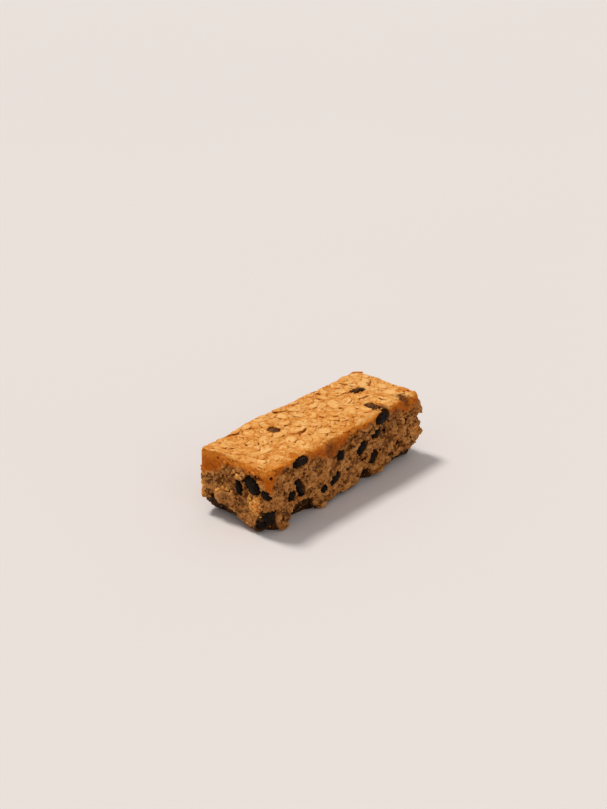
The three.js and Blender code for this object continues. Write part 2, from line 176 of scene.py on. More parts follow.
PAINTED_LIGHT_SPOTS = [((-52, -8.6, 15.2), 1.9, 1.0), ((-52, -12.3, 15.6), 2.2, 1.1), ((-52, -11.4, 12.2), 2.6, 0.9), ((-52, -14.2, 10.2), 2.2, 0.9), ((-52, -5.8, 10.2), 1.5, 0.8), ((-52, 10.2, 11.4), 0.9, 1.5), ((-52, 9.2, 13.4), 1.0, 1.5), ((-52, 7.0, 14.9), 1.0, 1.5), ((-52, 4.6, 15.4), 1.0, 1.5), ((-52, 2.4, 14.6), 1.0, 1.5), ((-52, 0.8, 13.0), 0.9, 1.5), ((-52, 1.4, 24.8), 0.9, 1.0), ((-52, -0.9, 23.7), 0.8, 1.0), ((-52, 18.0, 21.0), 1.7, 1.0), ((-52, 19.2, 13.7), 1.8, 1.0), ((-52, 18.4, 9.5), 1.6, 0.9), ((52, -18, 21), 1.6, 0.8), ((49, -19, 14), 2.0, 0.5), ((-20, 19, 14), 2.6, 0.7), ((52, 4, 9), 2.4, 0.7)]


# ------------------------------------------------------------------ functions
def smooth(lo, hi, v):
    t = np.clip((v - lo) / (hi - lo), 0, 1)
    return t * t * (3 - 2 * t)


def mix(a, b, t):
    return a + (b - a) * t


def span(a, b, v):
    return smooth(a - 1.5, a + 1.5, v) * (1 - smooth(b - 1.5, b + 1.5, v))


def bell(v, c, w):
    return np.exp(-(((v - c) / w) ** 2))


def lattice(scale, seed):
    """A box of random values that covers the whole working space."""
    n = np.ceil((HI - LO + 8) / scale).astype(int) + 3
    return np.random.default_rng(seed).uniform(-1, 1, n).astype(F)


def grid_noise(axes, scale, seed):
    """Smooth noise from -1 to 1 on a grid; scale is the size of a lump, mm."""
    a = lattice(scale, seed)
    for axis, vec in enumerate(axes):
        t = (vec - LO[axis] + 4) / scale
        i = np.floor(t).astype(int)
        f = (t - i).astype(F)
        f = f * f * (3 - 2 * f)
        shape = [1, 1, 1]
        shape[axis] = -1
        f = f.reshape(shape)
        a = np.take(a, i, axis) * (1 - f) + np.take(a, i + 1, axis) * f
    return a


def between(a, t):
    """Values of a box of numbers at fractional places."""
    i = np.clip(np.floor(t).astype(int), 0, np.array(a.shape) - 2)
    f = np.clip(t - i, 0, 1)
    out = 0.0
    for dx in (0, 1):
        wx = f[:, 0] if dx else 1 - f[:, 0]
        for dy in (0, 1):
            wy = f[:, 1] if dy else 1 - f[:, 1]
            for dz in (0, 1):
                wz = f[:, 2] if dz else 1 - f[:, 2]
                out = out + wx * wy * wz * a[i[:, 0] + dx, i[:, 1] + dy, i[:, 2] + dz]
    return out


def point_noise(p, scale, seed):
    """The same noise at scattered points."""
    t = (p - LO + 4) / scale
    i = np.floor(t)
    f = t - i
    return between(lattice(scale, seed), i + f * f * (3 - 2 * f))


def cells(p, scale, seed):
    """Grains of random place: distance to the nearest centre, gap, own value."""
    n = np.ceil((HI - LO + 8) / scale).astype(int) + 3
    box = np.random.default_rng(seed).uniform(0, 1, (*n, 4)).astype(F)
    t = ((p - LO + 4) / scale).astype(F)
    i = np.floor(t).astype(int)
    first, own = np.full(len(p), 9.0, F), np.zeros(len(p), F)
    second = first.copy()
    for step in np.ndindex(3, 3, 3):
        j = i + np.array(step) - 1
        c = box[j[:, 0], j[:, 1], j[:, 2]]
        r = np.sqrt(((j + c[:, :3] - t) ** 2).sum(1))
        closer = r < first
        second = np.where(closer, first, np.minimum(second, r))
        own = np.where(closer, c[:, 3], own)
        first = np.where(closer, r, first)
    return first, second - first, own


def euler(turn):
    """Rotation matrix, X first, then Y, then Z turned as in the CAD source."""
    a, b, c = (math.radians(t) for t in turn)
    rx = np.array([[1, 0, 0], [0, math.cos(a), -math.sin(a)], [0, math.sin(a), math.cos(a)]])
    ry = np.array([[math.cos(b), 0, math.sin(b)], [0, 1, 0], [-math.sin(b), 0, math.cos(b)]])
    rz = np.array([[math.cos(c), -math.sin(c), 0], [math.sin(c), math.cos(c), 0], [0, 0, 1]])
    return rx @ ry @ rz


def basis(n, heading):
    """Rows: along, across and out of a surface with normal n."""
    n = n / np.linalg.norm(n)
    ref = np.array([1.0, 0, 0]) if abs(n[0]) < 0.8 else np.array([0, 1.0, 0])
    e = ref - n * (ref @ n)
    e /= np.linalg.norm(e)
    g = np.cross(n, e)
    u = e * math.cos(heading) + g * math.sin(heading)
    return np.array([u, np.cross(n, u), n])


def random_turn(rng):
    q = rng.normal(size=4)
    q /= np.linalg.norm(q)
    a, b, c, e = q
    return np.array([
        [1 - 2 * (c * c + e * e), 2 * (b * c - a * e), 2 * (b * e + a * c)],
        [2 * (b * c + a * e), 1 - 2 * (b * b + e * e), 2 * (c * e - a * b)],
        [2 * (b * e - a * c), 2 * (c * e + a * b), 1 - 2 * (b * b + c * c)],
    ])


def tilted(n, rng, amount):
    t = n + rng.normal(size=3) * amount
    return t / np.linalg.norm(t)


def shade_of(rng, middle, spread):
    return float(np.clip(rng.normal(middle, spread), 0, 1))


# ------------------------------------------------------- the bar's whole form
def wave(s, t, phase):
    return SIDE_WAVE * (1 + 0.55 * np.sin(0.19 * s + phase) + 0.3 * np.sin(0.43 * s + 0.31 * t + 2.1 * phase) + 0.15 * np.sin(0.9 * t - 0.6 * s + phase))


def undercut(wall, s):
    if wall == "front":
        notch = np.maximum(np.maximum(span(-36.4, -22, s) * (1 - 0.3 * smooth(-29, -21, s)), 0.88 * span(9.8, 16.2, s)), 1.3 * span(-56, -45.8, s))
        foot = np.maximum(span(-44.6, -39.2, s), span(-19.4, -15.4, s))
        high = 3.3 + 3 * smooth(26.5, 30, s) + 2 * smooth(46, 52, s) + 7 * notch - 2.5 * foot + 0.4 * np.sin(0.8 * s)
        return np.maximum(high, 0.3), 3.2 + 1.5 * smooth(24, 46, s) + 2.3 * notch
    if wall == "back":
        return 4.4 + 2.6 * span(8, 20, s) + 1.1 * np.sin(0.27 * s + 1) + 0.5 * np.sin(0.9 * s), 3.4
    if wall == "left":
        return mix(2.0, 8.2, smooth(-12, 12, s)) + 0.5 * np.sin(0.6 * s), mix(1.6, 5.6, smooth(-12, 12, s))
    return 6.6 + 0.9 * np.sin(0.5 * s), 4.6


def foot_inset(wall, s, z):
    high, deep = undercut(wall, s)
    return deep * np.clip(1 - z / high, 0, 1) ** 0.6


def top_height(x, y):
    drop = 1.8 * bell(x, 44, 4.5) * smooth(-14.8, -19.2, y) + 0.9 - 0.75 * bell(x, -20, 17) * smooth(-8, 15, y) + 0.7 * bell(x, 27, 8) * smooth(-2, 14, y)
    return HEIGHT - drop - 0.22 * np.sin(0.16 * x + 0.6) - 0.16 * np.sin(0.23 * y + 0.07 * x)


def plan(x, y, z, foot=1.0):
    """Distance to the bar's four walls, mm, negative inside."""
    left = -LENGTH / 2 + END_SLANT * (1 - smooth(2, 18, y)) + wave(y, z, 0.4) + foot * foot_inset("left", y, z)
    right = LENGTH / 2 - wave(y, z, 2.2) - foot * foot_inset("right", y, z)
    front = -WIDTH / 2 + wave(x, z, 1.1) + foot * foot_inset("front", x, z)
    back = WIDTH / 2 - wave(x, z, 3.0) - foot * foot_inset("back", x, z)
    dx = np.where(x < 0, left - x, x - right)
    dy = np.where(y < 0, front - y, y - back)
    r = np.where(y < 0, np.where(x < 0, CORNER_R["fl"], CORNER_R["fr"]), np.where(x < 0, CORNER_R["bl"], CORNER_R["br"]))
    d = np.where((dx > -r) & (dy > -r), np.hypot(np.maximum(dx + r, 0), np.maximum(dy + r, 0)) - r, np.maximum(dx, dy))
    for (a, b, c), rad, h in SWELLS:
        d = d - h * np.exp(-((x - a) ** 2 + (y - b) ** 2 + (z - c) ** 2) / (rad * rad))
    return d


def whole(x, y, z):
    """Distance to the bar's smooth outer form, mm, negative inside."""
    walls = plan(x, y, z)
    up = z - top_height(x, y)
    rim = TOP_EDGE_R
    return np.where((walls > -rim) & (up > -rim), np.hypot(np.maximum(walls + rim, 0), np.maximum(up + rim, 0)) - rim, np.maximum(walls, up))


def whole_at(p):
    return whole(p[..., 0], p[..., 1], p[..., 2])


def slope(p, e=0.25):
    g = np.stack([whole_at(p + d) - whole_at(p - d) for d in np.eye(3) * e], -1)
    return g / np.maximum(np.linalg.norm(g, axis=-1, keepdims=True), 1e-6)


def onto(p, level=0.0):
    """Points moved along the slope until they lie level mm outside the form."""
    for _ in range(6):
        p = p - (whole_at(p) - level)[..., None] * slope(p)
    return p


def on_face(table):
    """The same spots, their centres moved onto the form."""
    at = onto(np.array([row[0] for row in table], float))
    return [(tuple(c), r, h) for c, (_, r, h) in zip(at, table)]


STAINS_AND_SHADE, PAINTED_LIGHT_SPOTS = on_face(STAINS_AND_SHADE), on_face(PAINTED_LIGHT_SPOTS)


def crust_floor(x, y):
    """Height at which the smooth baked crust ends and the open crumb starts."""
    base = 27.2 + 0.8 * np.sin(0.21 * x + 1.0) + 0.6 * np.sin(0.55 * x + 0.8 * y) + 0.4 * np.sin(1.1 * y + 0.3)
    front = 28.0 + 0.4 * np.sin(0.9 * x) - 5.6 * bell(x, -10.5, 8) - 2.6 * bell(x, 42.5, 4) - 1.0 * smooth(44, 47, x) + 0.9 * bell(x, -43.5, 4.5) - 3.6 * bell(x, -52, 3.6) + 1.2 * bell(x, -35, 5)
    end = 26.8 + 0.4 * np.sin(1.3 * y) - 5.2 * smooth(6, 11, y) - 2.6 * smooth(12, 20, y) - 5.6 * bell(y, -19.5, 4.2)
    base = mix(base, front, smooth(-14, -18, y))
    return mix(base, end, smooth(-46, -50, x))


def wall_points(count, rng, low=0.4, high=HEIGHT - 1.2):
    """Points spread evenly over the four sides of the form, and their slopes."""
    per = 2 * (LENGTH + WIDTH)
    s = rng.uniform(0, per, count)
    z = rng.uniform(low, high, count)
    x = np.select([s < LENGTH, s < 2 * LENGTH, s < 2 * LENGTH + WIDTH], [s - LENGTH / 2, s - 1.5 * LENGTH, np.full(count, -LENGTH / 2)], LENGTH / 2)
    y = np.select([s < LENGTH, s < 2 * LENGTH, s < 2 * LENGTH + WIDTH], [np.full(count, -WIDTH / 2), np.full(count, WIDTH / 2), s - 2 * LENGTH - WIDTH / 2], s - 2 * LENGTH - 1.5 * WIDTH)
    p = onto(np.stack([x, y, z], -1))
    return p, slope(p)


def top_points(count, rng, margin=0.3):
    x = rng.uniform(-LENGTH / 2 + margin, LENGTH / 2 - margin, count)
    y = rng.uniform(-WIDTH / 2 + margin, WIDTH / 2 - margin, count)
    p = onto(np.stack([x, y, top_height(x, y)], -1))
    return p, slope(p)


# ------------------------------------------------------------ the grown field
class Field:
    """Distance and looks on a grid. Shapes are joined to it one by one."""

    def __init__(self, lo, hi, cell):
        self.lo, self.cell = np.array(lo, float), cell
        self.axes = [np.arange(lo[i], hi[i], cell) for i in range(3)]
        x, y, z = (v.astype(F) for v in np.ix_(*self.axes))
        self.x, self.y, self.z = x, y, z
        self.form = whole(x, y, z).astype(F)
        self.walls = plan(x, y, z).astype(F)
        self.crust = smooth(-1.4, 1.4, z - crust_floor(x, y)).astype(F)
        self.topmost = smooth(-3.0, -1.2, z - top_height(x, y)).astype(F)
        self.d = self.form + mix(0.52, 0.16, self.crust) + 0.34 * self.topmost
        self.tone = (0.42 + 0.16 * grid_noise(self.axes, 3.5, 1) + 0.10 * grid_noise(self.axes, 1.3, 2)).astype(F)
        self.oat, self.fu, self.fv, self.edge = (np.zeros_like(self.d) for _ in range(4))

    def window(self, c, reach):
        lo = np.maximum(np.floor((c - reach - self.lo) / self.cell).astype(int), 0)
        hi = np.minimum(np.ceil((c + reach - self.lo) / self.cell).astype(int) + 1, self.d.shape)
        if (hi - lo).min() < 2:
            return None
        s = tuple(slice(a, b) for a, b in zip(lo, hi))
        return s, *(v.astype(F) for v in np.ix_(*(self.axes[i][s[i]] - c[i] for i in range(3))))

    def join(self, s, new, k, new_tone, new_oat, u=0.0, v=0.0, edge=0.0):
        """Smooth union of a new shape into the field, with its own looks."""
        old = self.d[s]
        w = np.clip(0.5 + 0.5 * (old - new) / k, 0, 1)
        self.d[s] = mix(old, new, w) - k * w * (1 - w)
        self.tone[s] = mix(self.tone[s], new_tone, w)
        self.oat[s] = mix(self.oat[s], new_oat, w)
        self.edge[s] = mix(self.edge[s], edge, w)
        self.fu[s] = np.where(w > 0.5, u, self.fu[s])
        self.fv[s] = np.where(w > 0.5, v, self.fv[s])

    def flake(self, c, m, a, b, t, k, new_tone, grow, ph, bend, cup, crease, moat, out=9.0):
        """One rolled oat: a thin, slightly curved oval with a wavy outline."""
        reach = np.sqrt((a * 1.15 * m[0]) ** 2 + (b * 1.15 * m[1]) ** 2 + ((t + 0.8) * m[2]) ** 2) + 0.4
        got = self.window(c, reach)
        if got is None:
            return
        s, x, y, z = got
        m = [[float(v) for v in row] for row in m]
        u = x * m[0][0] + y * m[0][1] + z * m[0][2]
        v = x * m[1][0] + y * m[1][1] + z * m[1][2]
        w = x * m[2][0] + y * m[2][1] + z * m[2][2]
        un, vn = u / a, v / b
        ang = np.arctan2(vn, un)
        rho = np.sqrt(un * un + vn * vn)
        rho = rho / (1 + 0.06 * np.sin(2 * ang + ph[0]) + 0.05 * np.sin(3 * ang + ph[1]) + 0.035 * np.sin(5 * ang + ph[2]) + 0.02 * np.sin(9 * ang + ph[3]))
        mid = bend * un * un + cup * vn * vn - crease * np.exp(-((v / 0.4) ** 2)) * np.clip(1.1 - rho, 0, 1) + 0.07 * np.sin(2.1 * u + ph[0]) * np.sin(1.7 * v + ph[1])
        flat = np.abs(w - mid) - t * (1 - 0.35 * np.clip(rho, 0, 1) ** 3)
        side = (rho - 1) * min(a, b)
        # the moat is a real groove round the oat; the same ring is also marked for painted shade, a thin darker line
        # like a contact shadow
        if moat:
            near = np.exp(-(((side - 0.12) / 0.2) ** 2)) * np.exp(-(((w - mid) / 0.5) ** 2))
            self.d[s] += moat * near
            self.edge[s] = np.maximum(self.edge[s], min(1.0, 5 * moat) * near)
        r = 0.16
        new = np.hypot(np.maximum(flat + r, 0), np.maximum(side + r, 0)) + np.minimum(np.maximum(flat, side) + r, 0) - r
        new = np.maximum(np.maximum(new, self.form[s] - grow), self.walls[s] - out)  # cut off at the walls
        self.join(s, new.astype(F), k, new_tone, 1.0, un, vn, min(0.4, 2 * moat) * smooth(0.85, 1.0, rho))

    def ball(self, c, m, r, blunt=2.0):
        reach = np.sqrt(sum((r[i] * m[i]) ** 2 for i in range(3))) + (0.7 if blunt == 2 else 1.6)
        got = self.window(c, reach)
        if got is None:
            return None, None
        s, x, y, z = got
        q = [(x * float(m[i][0]) + y * float(m[i][1]) + z * float(m[i][2])) / float(r[i]) for i in range(3)]
        far = np.sqrt(q[0] ** 2 + q[1] ** 2 + q[2] ** 2) if blunt == 2 else sum(np.abs(v) ** blunt for v in q) ** (1 / blunt)
        return s, ((far - 1) * float(min(r))).astype(F)

    def lump(self, c, m, r, k, new_tone, grow):
        s, new = self.ball(c, m, r)
        if s is not None:
            self.join(s, np.maximum(new, self.form[s] - grow), k, new_tone, 0.0)

    def carve(self, c, m, r, k, blunt=2.0):
        s, new = self.ball(c, m, r, blunt)
        if s is None:
            return
        old, new = self.d[s], -new
        w = np.clip(0.5 - 0.5 * (old - new) / k, 0, 1)
        self.d[s] = mix(old, new, w) + k * w * (1 - w)

    def blur(self, a, reach):
        r = max(1, round(reach / self.cell))
        for axis in range(3):
            pad = [(0, 0)] * 3
            pad[axis] = (r + 1, r)
            c = np.cumsum(np.pad(a, pad, mode="edge"), axis, dtype=np.float64)
            n = a.shape[axis]
            a = ((np.take(c, np.arange(2 * r + 1, 2 * r + 1 + n), axis) - np.take(c, np.arange(n), axis)) / (2 * r + 1)).astype(F)
        return a

    def sample(self, a, p):
        return between(a, (p - self.lo) / self.cell)

    def nearest(self, a, p):
        i = np.clip(np.round((p - self.lo) / self.cell).astype(int), 0, np.array(a.shape) - 1)
        return a[i[:, 0], i[:, 1], i[:, 2]]


# --- the list of shapes, in the order in which they are joined
SHAPES = []


def add(kind, *args):
    SHAPES.append((kind, args))


# crumb of the cut sides: lumps of many sizes, then oats lying in it
rng = np.random.default_rng(11)
P, N = wall_points(3900, rng)
for i, (p, n) in enumerate(zip(P, N)):
    low = smooth(-2.0, 0.4, crust_floor(p[0], p[1]) - p[2])
    foot = 1 - smooth(2.5, 8.5, p[2])
    if i < 420:  # clumps
        size = rng.uniform(2.0, 3.4)
        sunk = size * rng.uniform(0.72, 1.0)
    else:
        size = rng.choice([0.75, 1.1, 1.6], p=[0.38, 0.38, 0.24]) * rng.uniform(0.85, 1.2)
        sunk = size * rng.uniform(0.35, 0.95)
    r = size * rng.uniform(0.7, 1.3, 3)
    tone, grow = shade_of(rng, 0.45, 0.22), rng.uniform(-0.1, 0.5) + 0.3 * foot
    if rng.random() < low:
        add("lump", p - n * (sunk - 0.05), random_turn(rng), r, 0.16, tone, grow)
P, N = wall_points(520, rng)
for p, n in zip(P, N):
    low = smooth(-2.0, 0.4, crust_floor(p[0], p[1]) - p[2])
    up = tilted(np.array([0, 0, 1.0]), rng, 0.42) if rng.random() < 0.45 else tilted(n, rng, 0.3)
    m = basis(up, rng.uniform(0, 6.28))
    a, b = rng.uniform(2.2, 3.9), rng.uniform(1.6, 2.8)
    c = p - n * rng.uniform(0.25, 1.7)
    args = (c, m, a, b, rng.uniform(0.3, 0.5), 0.16, shade_of(rng, 0.62, 0.16), rng.uniform(-0.1, 0.5), rng.uniform(0, 6.28, 4), rng.uniform(-0.5, 0.5), rng.uniform(-0.4, 0.4), 0.08, 0.08)
    if rng.random() < low:
        add("flake", *args)
# ragged lower edges, and crumbs that stand out along the upright corners
rng = np.random.default_rng(17)
start = []
for wall, half, count in (("front", 51.5, 330), ("back", 50, 260), ("left", 18, 110), ("right", 17, 110)):
    t = rng.uniform(-half, half, count)
    z = np.maximum(0.5, undercut(wall, t)[0] * rng.uniform(0.35, 1.0, count) + rng.uniform(-0.6, 2.2, count))
    across = {"front": -WIDTH / 2, "back": WIDTH / 2, "left": -LENGTH / 2, "right": LENGTH / 2}[wall] + 0 * t
    start.append(np.stack([t, across, z] if wall in ("front", "back") else [across, t, z], -1))
P = onto(np.concatenate(start))
N = slope(P)
for q, n in zip(P, N):
    add("lump", q - n * rng.uniform(0.0, 0.6), random_turn(rng), rng.uniform(0.4, 1.4, 3), 0.14, shade_of(rng, 0.5, 0.2), rng.uniform(0.2, 1.0))
corner = np.repeat(np.array([(-51.6, -18.6, 14.5), (52, -18.4, 14.5), (-52, 18.2, 14.5), (50, 16.5, 14.5)]), 60, 0)
for q in onto(corner + rng.uniform(-1, 1, corner.shape) * np.array([1.6, 1.6, 12.5])):
    if q[2] < crust_floor(q[0], q[1]):
        add("lump", q, random_turn(rng), rng.uniform(0.35, 1.1, 3), 0.12, shade_of(rng, 0.5, 0.2), rng.uniform(0.2, 0.9))
for z in (22.6, 21.2, 20.5, 16.2, 11.8, 10.8):
    q = onto(np.array([[52.2, -18.6, z]]) + rng.uniform(-0.8, 0.8, (1, 3)))[0]
    n = slope(q[None])[0]
    a = rng.uniform(1.4, 2.2)
    add("flake", q - n * a * 0.35, basis(tilted(np.array([0, 0, 1.0]), rng, 0.5), rng.uniform(0, 6.28)), a, a * 0.75, 0.4, 0.12, shade_of(rng, 0.55, 0.15), 1.3, rng.uniform(0, 6.28, 4), 0.2, 0.1, 0.05, 0.03)
# an oat that stands out of the square end, and lumps of lighter tone at the spots of painted light
q = onto(np.array([[-52.0, 5.4, 11.4]]))[0]
n = slope(q[None])[0]
add("flake", q - n * 0.1, basis(n - np.array([0, 0, 0.25]), 0.0), 4.9, 3.9, 0.5, 0.12, 0.62, 1.5, np.array([0.4, 1.2, 2.0, 0.7]), 0.55, 0.55, 0.0, 0.05)
for c, r, h in PAINTED_LIGHT_SPOTS:
    if c[0] < -49:
        for _ in range(3 + int(5 * r)):
            q = onto(np.array([c]) + rng.uniform(-0.75, 0.75, (1, 3)) * r)[0]
            add("lump", q + slope(q[None])[0] * rng.uniform(-0.3, 0.25), random_turn(rng), rng.uniform(0.35, 0.85, 3), 0.1, shade_of(rng, 0.7, 0.15), 1.2)
# low relief of the baked crust: flakes and bits pressed flush
rng = np.random.default_rng(19)
P, N = wall_points(900, rng, 20.0, HEIGHT - 1.0)
for i, (p, n) in enumerate(zip(P, N)):
    m = basis(tilted(n, rng, 0.12), rng.uniform(0, 6.28))
    a = rng.uniform(0.6, 2.8)
    if p[2] > crust_floor(p[0], p[1]) - 0.8:
        add("flake", p - n * rng.uniform(0.2, 0.5), m, a, a * rng.uniform(0.45, 0.8), rng.uniform(0.18, 0.3), 0.1, shade_of(rng, 0.5, 0.26), rng.uniform(-0.1, 0.12), rng.uniform(0, 6.28, 4), rng.uniform(-0.3, 0.2), rng.uniform(-0.2, 0.2), 0.08, rng.uniform(0, 0.05))

# the pressed oat top: broken bits below, whole oats over them
rng = np.random.default_rng(23)
P, N = top_points(1500, rng)
for p, n in zip(P, N):
    m = basis(tilted(n, rng, 0.14), rng.uniform(0, 6.28))
    a = rng.uniform(0.9, 3.2)
    b = a * rng.uniform(0.45, 0.8)
    c = p - n * rng.uniform(0.25, 0.65)
    add("flake", c, m, a, b, rng.uniform(0.16, 0.30), 0.10, shade_of(rng, 0.48, 0.17), rng.uniform(-0.25, 0.3), rng.uniform(0, 6.28, 4), rng.uniform(-0.2, 0.15), rng.uniform(-0.15, 0.1), 0.1, rng.uniform(0, 0.06), rng.uniform(-0.7, 0.1))

placed = [(x, y, max(a, b) / 2) for x, y, a, b, _ in TOP_OATS]
order = [(x, y, a / 2, 0.94 * b / 2, math.radians(h), 0.0) for x, y, a, b, h in TOP_OATS]
tries = np.random.default_rng(31)
for _ in range(9000):
    x, y = tries.uniform(-51.8, 51.8), tries.uniform(-18.4, 18.4)
    a = tries.uniform(2.3, 4.5)
    if all((x - q[0]) ** 2 + (y - q[1]) ** 2 > (0.35 * (a + q[2])) ** 2 for q in placed):
        placed.append((x, y, a))
        order.append((x, y, a, a * tries.uniform(0.50, 0.72), tries.uniform(0, 6.28), tries.uniform(0.08, 0.30)))
for _ in range(34):  # the back edge is bumpy with oats that lie over it
    a = tries.uniform(2.2, 4.4)
    order.append((tries.uniform(-50, 50), tries.uniform(15.4, 18.2), a, a * tries.uniform(0.55, 0.75), tries.uniform(0, 6.28), tries.uniform(-0.42, -0.1)))
OATS = []
rng = np.random.default_rng(37)
order.sort(key=lambda o: -o[5])
P = np.array([o[:2] for o in order])
P = onto(np.column_stack([P, top_height(P[:, 0], P[:, 1])]))
for (x, y, a, b, heading, sink), q, n in zip(order, P, slope(P)):
    hero = sink == 0
    m = basis(tilted(n, rng, 0.09), heading)
    c = q - n * (sink + rng.uniform(0.0, 0.14))
    OATS.append((c, m, a, b, n, hero))
    crisp = rng.uniform(0.1, 1)
    over = rng.uniform(-0.35, 0.8) if -plan(*q) < a else 0.7
    add("flake", c, m, a, b, rng.uniform(0.2, 0.28), mix(0.16, 0.05, crisp), shade_of(rng, 0.76 if hero else 0.62, 0.14), over, rng.uniform(0, 6.28, 4), rng.uniform(-0.25, 0.1), rng.uniform(-0.2, 0.1), 0.15, (0.13 if sink >= 0 else 0.0) * crisp, rng.uniform(-0.9, 0.1))
# dark gaps and pits
for line, wide in TOP_GAPS:
    for (x0, y0), (x1, y1) in zip(line[:-1], line[1:]):
        long = math.hypot(x1 - x0, y1 - y0)
        cx, cy = (x0 + x1) / 2, (y0 + y1) / 2
        h = float(top_height(np.array(cx), np.array(cy)))
        add("carve", np.array([cx, cy, h - 0.3]), basis(np.array([0, 0, 1.0]), math.atan2(y1 - y0, x1 - x0)), (long / 2 + 0.5, wide, 1.0), 0.1)
for x, y, r in TOP_PITS:
    add("carve", np.array([x, y, float(top_height(np.array(x), np.array(y))) - 0.3]), basis(np.array([0, 0, 1.0]), 2 * x + y), (r * 1.4, r * 0.75, 1.1), 0.1)
rng = np.random.default_rng(41)
P, N = top_points(32, rng, 2.0)
for p, n in zip(P, N):
    add("carve", p - n * 0.2, basis(n, rng.uniform(0, 6.28)), (rng.uniform(0.4, 1.1), rng.uniform(0.2, 0.4), rng.uniform(0.5, 0.9)), 0.1)
P, N = wall_points(110, rng)
for p, n in zip(P, N):
    low = 1 - smooth(19, 26, p[2])
    size = rng.choice([0.6, 0.9, 1.3], p=[0.45, 0.38, 0.17]) * mix(0.6, 1.0, low)
    args = (p - n * rng.uniform(0.4, 1.1), random_turn(rng), size * rng.uniform(0.5, 1.7, 3), 0.2)
    if rng.random() < 0.1 + 0.9 * low:
        add("carve", *args)
HOLES = []
for kind, holes in (("front", FRONT_HOLES), ("end", END_HOLES)):
    for s, z, a, b in holes:
        q = np.array([s, -WIDTH / 2, z]) if kind == "front" else np.array([-LENGTH / 2, s, z])
        q = onto(q[None])[0]
        n = slope(q[None])[0]
        turn = random_turn(rng) * 0.25 + np.eye(3)
        m = basis(n, rng.uniform(-0.5, 0.5)) @ np.linalg.qr(turn)[0]
        add("carve", q - n * 0.7, m, (a, b, 1.9), 0.15)
        HOLES.append((q - n * 0.7, m, np.array([a, b, 1.9])))

# after the grain: the raisins' pockets, and crumb baked over their borders
LATE = len(SHAPES)
for name, (at, r, turn, coat) in RAISINS.items():
    add("carve", np.array(at), euler(turn).T, np.array(r) + 0.32, 0.12, BLUNT)
rng = np.random.default_rng(43)
start = []
out_at = onto(np.array([v[0] for v in RAISINS.values()], float))
for (at, r, turn, coat), n in zip(RAISINS.values(), slope(out_at)):
    for k in range(7):
        along = basis(n, 0.9 * k + rng.uniform(-0.4, 0.4))[0]
        reach = 1 / np.sum(np.abs((along @ euler(turn)) / np.array(r)) ** BLUNT) ** (1 / BLUNT)
        start.append(np.array(at) + along * (reach * rng.uniform(1.0, 1.10) + 0.45))
P = onto(np.array(start))
for q, n in zip(P, slope(P)):
    add("lump", q - n * rng.uniform(0.0, 0.7), random_turn(rng), rng.uniform(0.35, 0.9, 3), 0.1, shade_of(rng, 0.5, 0.2), rng.uniform(0.0, 0.5))


def grown(lo, hi, cell):
    f = Field(lo, hi, cell)
    for kind, args in SHAPES[:LATE]:
        getattr(f, kind)(*args)
    open_crumb = (1 - np.maximum(f.crust, f.topmost)) * (1 - 0.5 * f.oat)
    f.d += open_crumb * 0.34 * grid_noise(f.axes, 3.4, 3)
    f.d += open_crumb * 0.20 * grid_noise(f.axes, 1.5, 4)
    f.d += mix(0.07, 0.10, open_crumb) * grid_noise(f.axes, 0.62, 5)
    f.d += (1 - smooth(2.5, 8.5, f.z)) * 0.35 * grid_noise(f.axes, 2.9, 6)
    for kind, args in SHAPES[LATE:]:
        getattr(f, kind)(*args)
    f.d = np.maximum(f.d, -f.z).astype(F)
    clipped = np.clip(f.d, -1.6, 1.6)
    f.fine = f.blur(clipped, 0.5)
    f.broad = f.blur(clipped, 1.7)
    return f


SIDE = grown(LO, HI - np.array([0, 0, 2.6]), SIDE_CELL)
TOP = grown(np.array([LO[0], LO[1], TOP_LO]), HI, TOP_CELL)


# ---------------------------------------------------------------- mesh making
def make_mesh(name, points, tris=None, quads=None, attributes=None, caps=()):
    """A smooth-shaded mesh object in metres from points in millimetres."""
    me = bpy.data.meshes.new(name)
    tris = np.zeros((0, 3), int) if tris is None else np.asarray(tris)
    quads = np.zeros((0, 4), int) if quads is None else np.asarray(quads)
    me.vertices.add(len(points))
    me.vertices.foreach_set("co", (np.asarray(points) * MM).astype(F).ravel())
    sizes = np.concatenate([np.full(len(tris), 3), np.full(len(quads), 4), [len(c) for c in caps]]).astype(int)
    me.loops.add(int(sizes.sum()))
    me.loops.foreach_set("vertex_index", np.concatenate([tris.ravel(), quads.ravel(), *caps]).astype(np.int32))
    me.polygons.add(len(sizes))
    me.polygons.foreach_set("loop_start", (np.cumsum(sizes) - sizes).astype(np.int32))
    me.polygons.foreach_set("use_smooth", np.arange(len(sizes)) < len(tris) + len(quads))
    me.update(calc_edges=True)
    me.validate()
    for key, val in (attributes or {}).items():
        a = me.attributes.new(key, "FLOAT", "POINT")
        a.data.foreach_set("value", np.broadcast_to(np.asarray(val, F), (len(points),)).copy())
    o = bpy.data.objects.new(name, me)
    bpy.context.scene.collection.objects.link(o)
    return o


def vertex_normals(p, faces):
    n = np.zeros_like(p)
    for f in faces:
        if len(f) == 0:
            continue
        a, b, c = p[f[:, 0]], p[f[:, 1]], p[f[:, 2]]
        fn = np.cross(b - a, c - a)
        for k in range(f.shape[1]):
            for j in range(3):
                n[:, j] += np.bincount(f[:, k], fn[:, j], len(p))
    return n / np.maximum(np.linalg.norm(n, axis=1, keepdims=True), 1e-9)


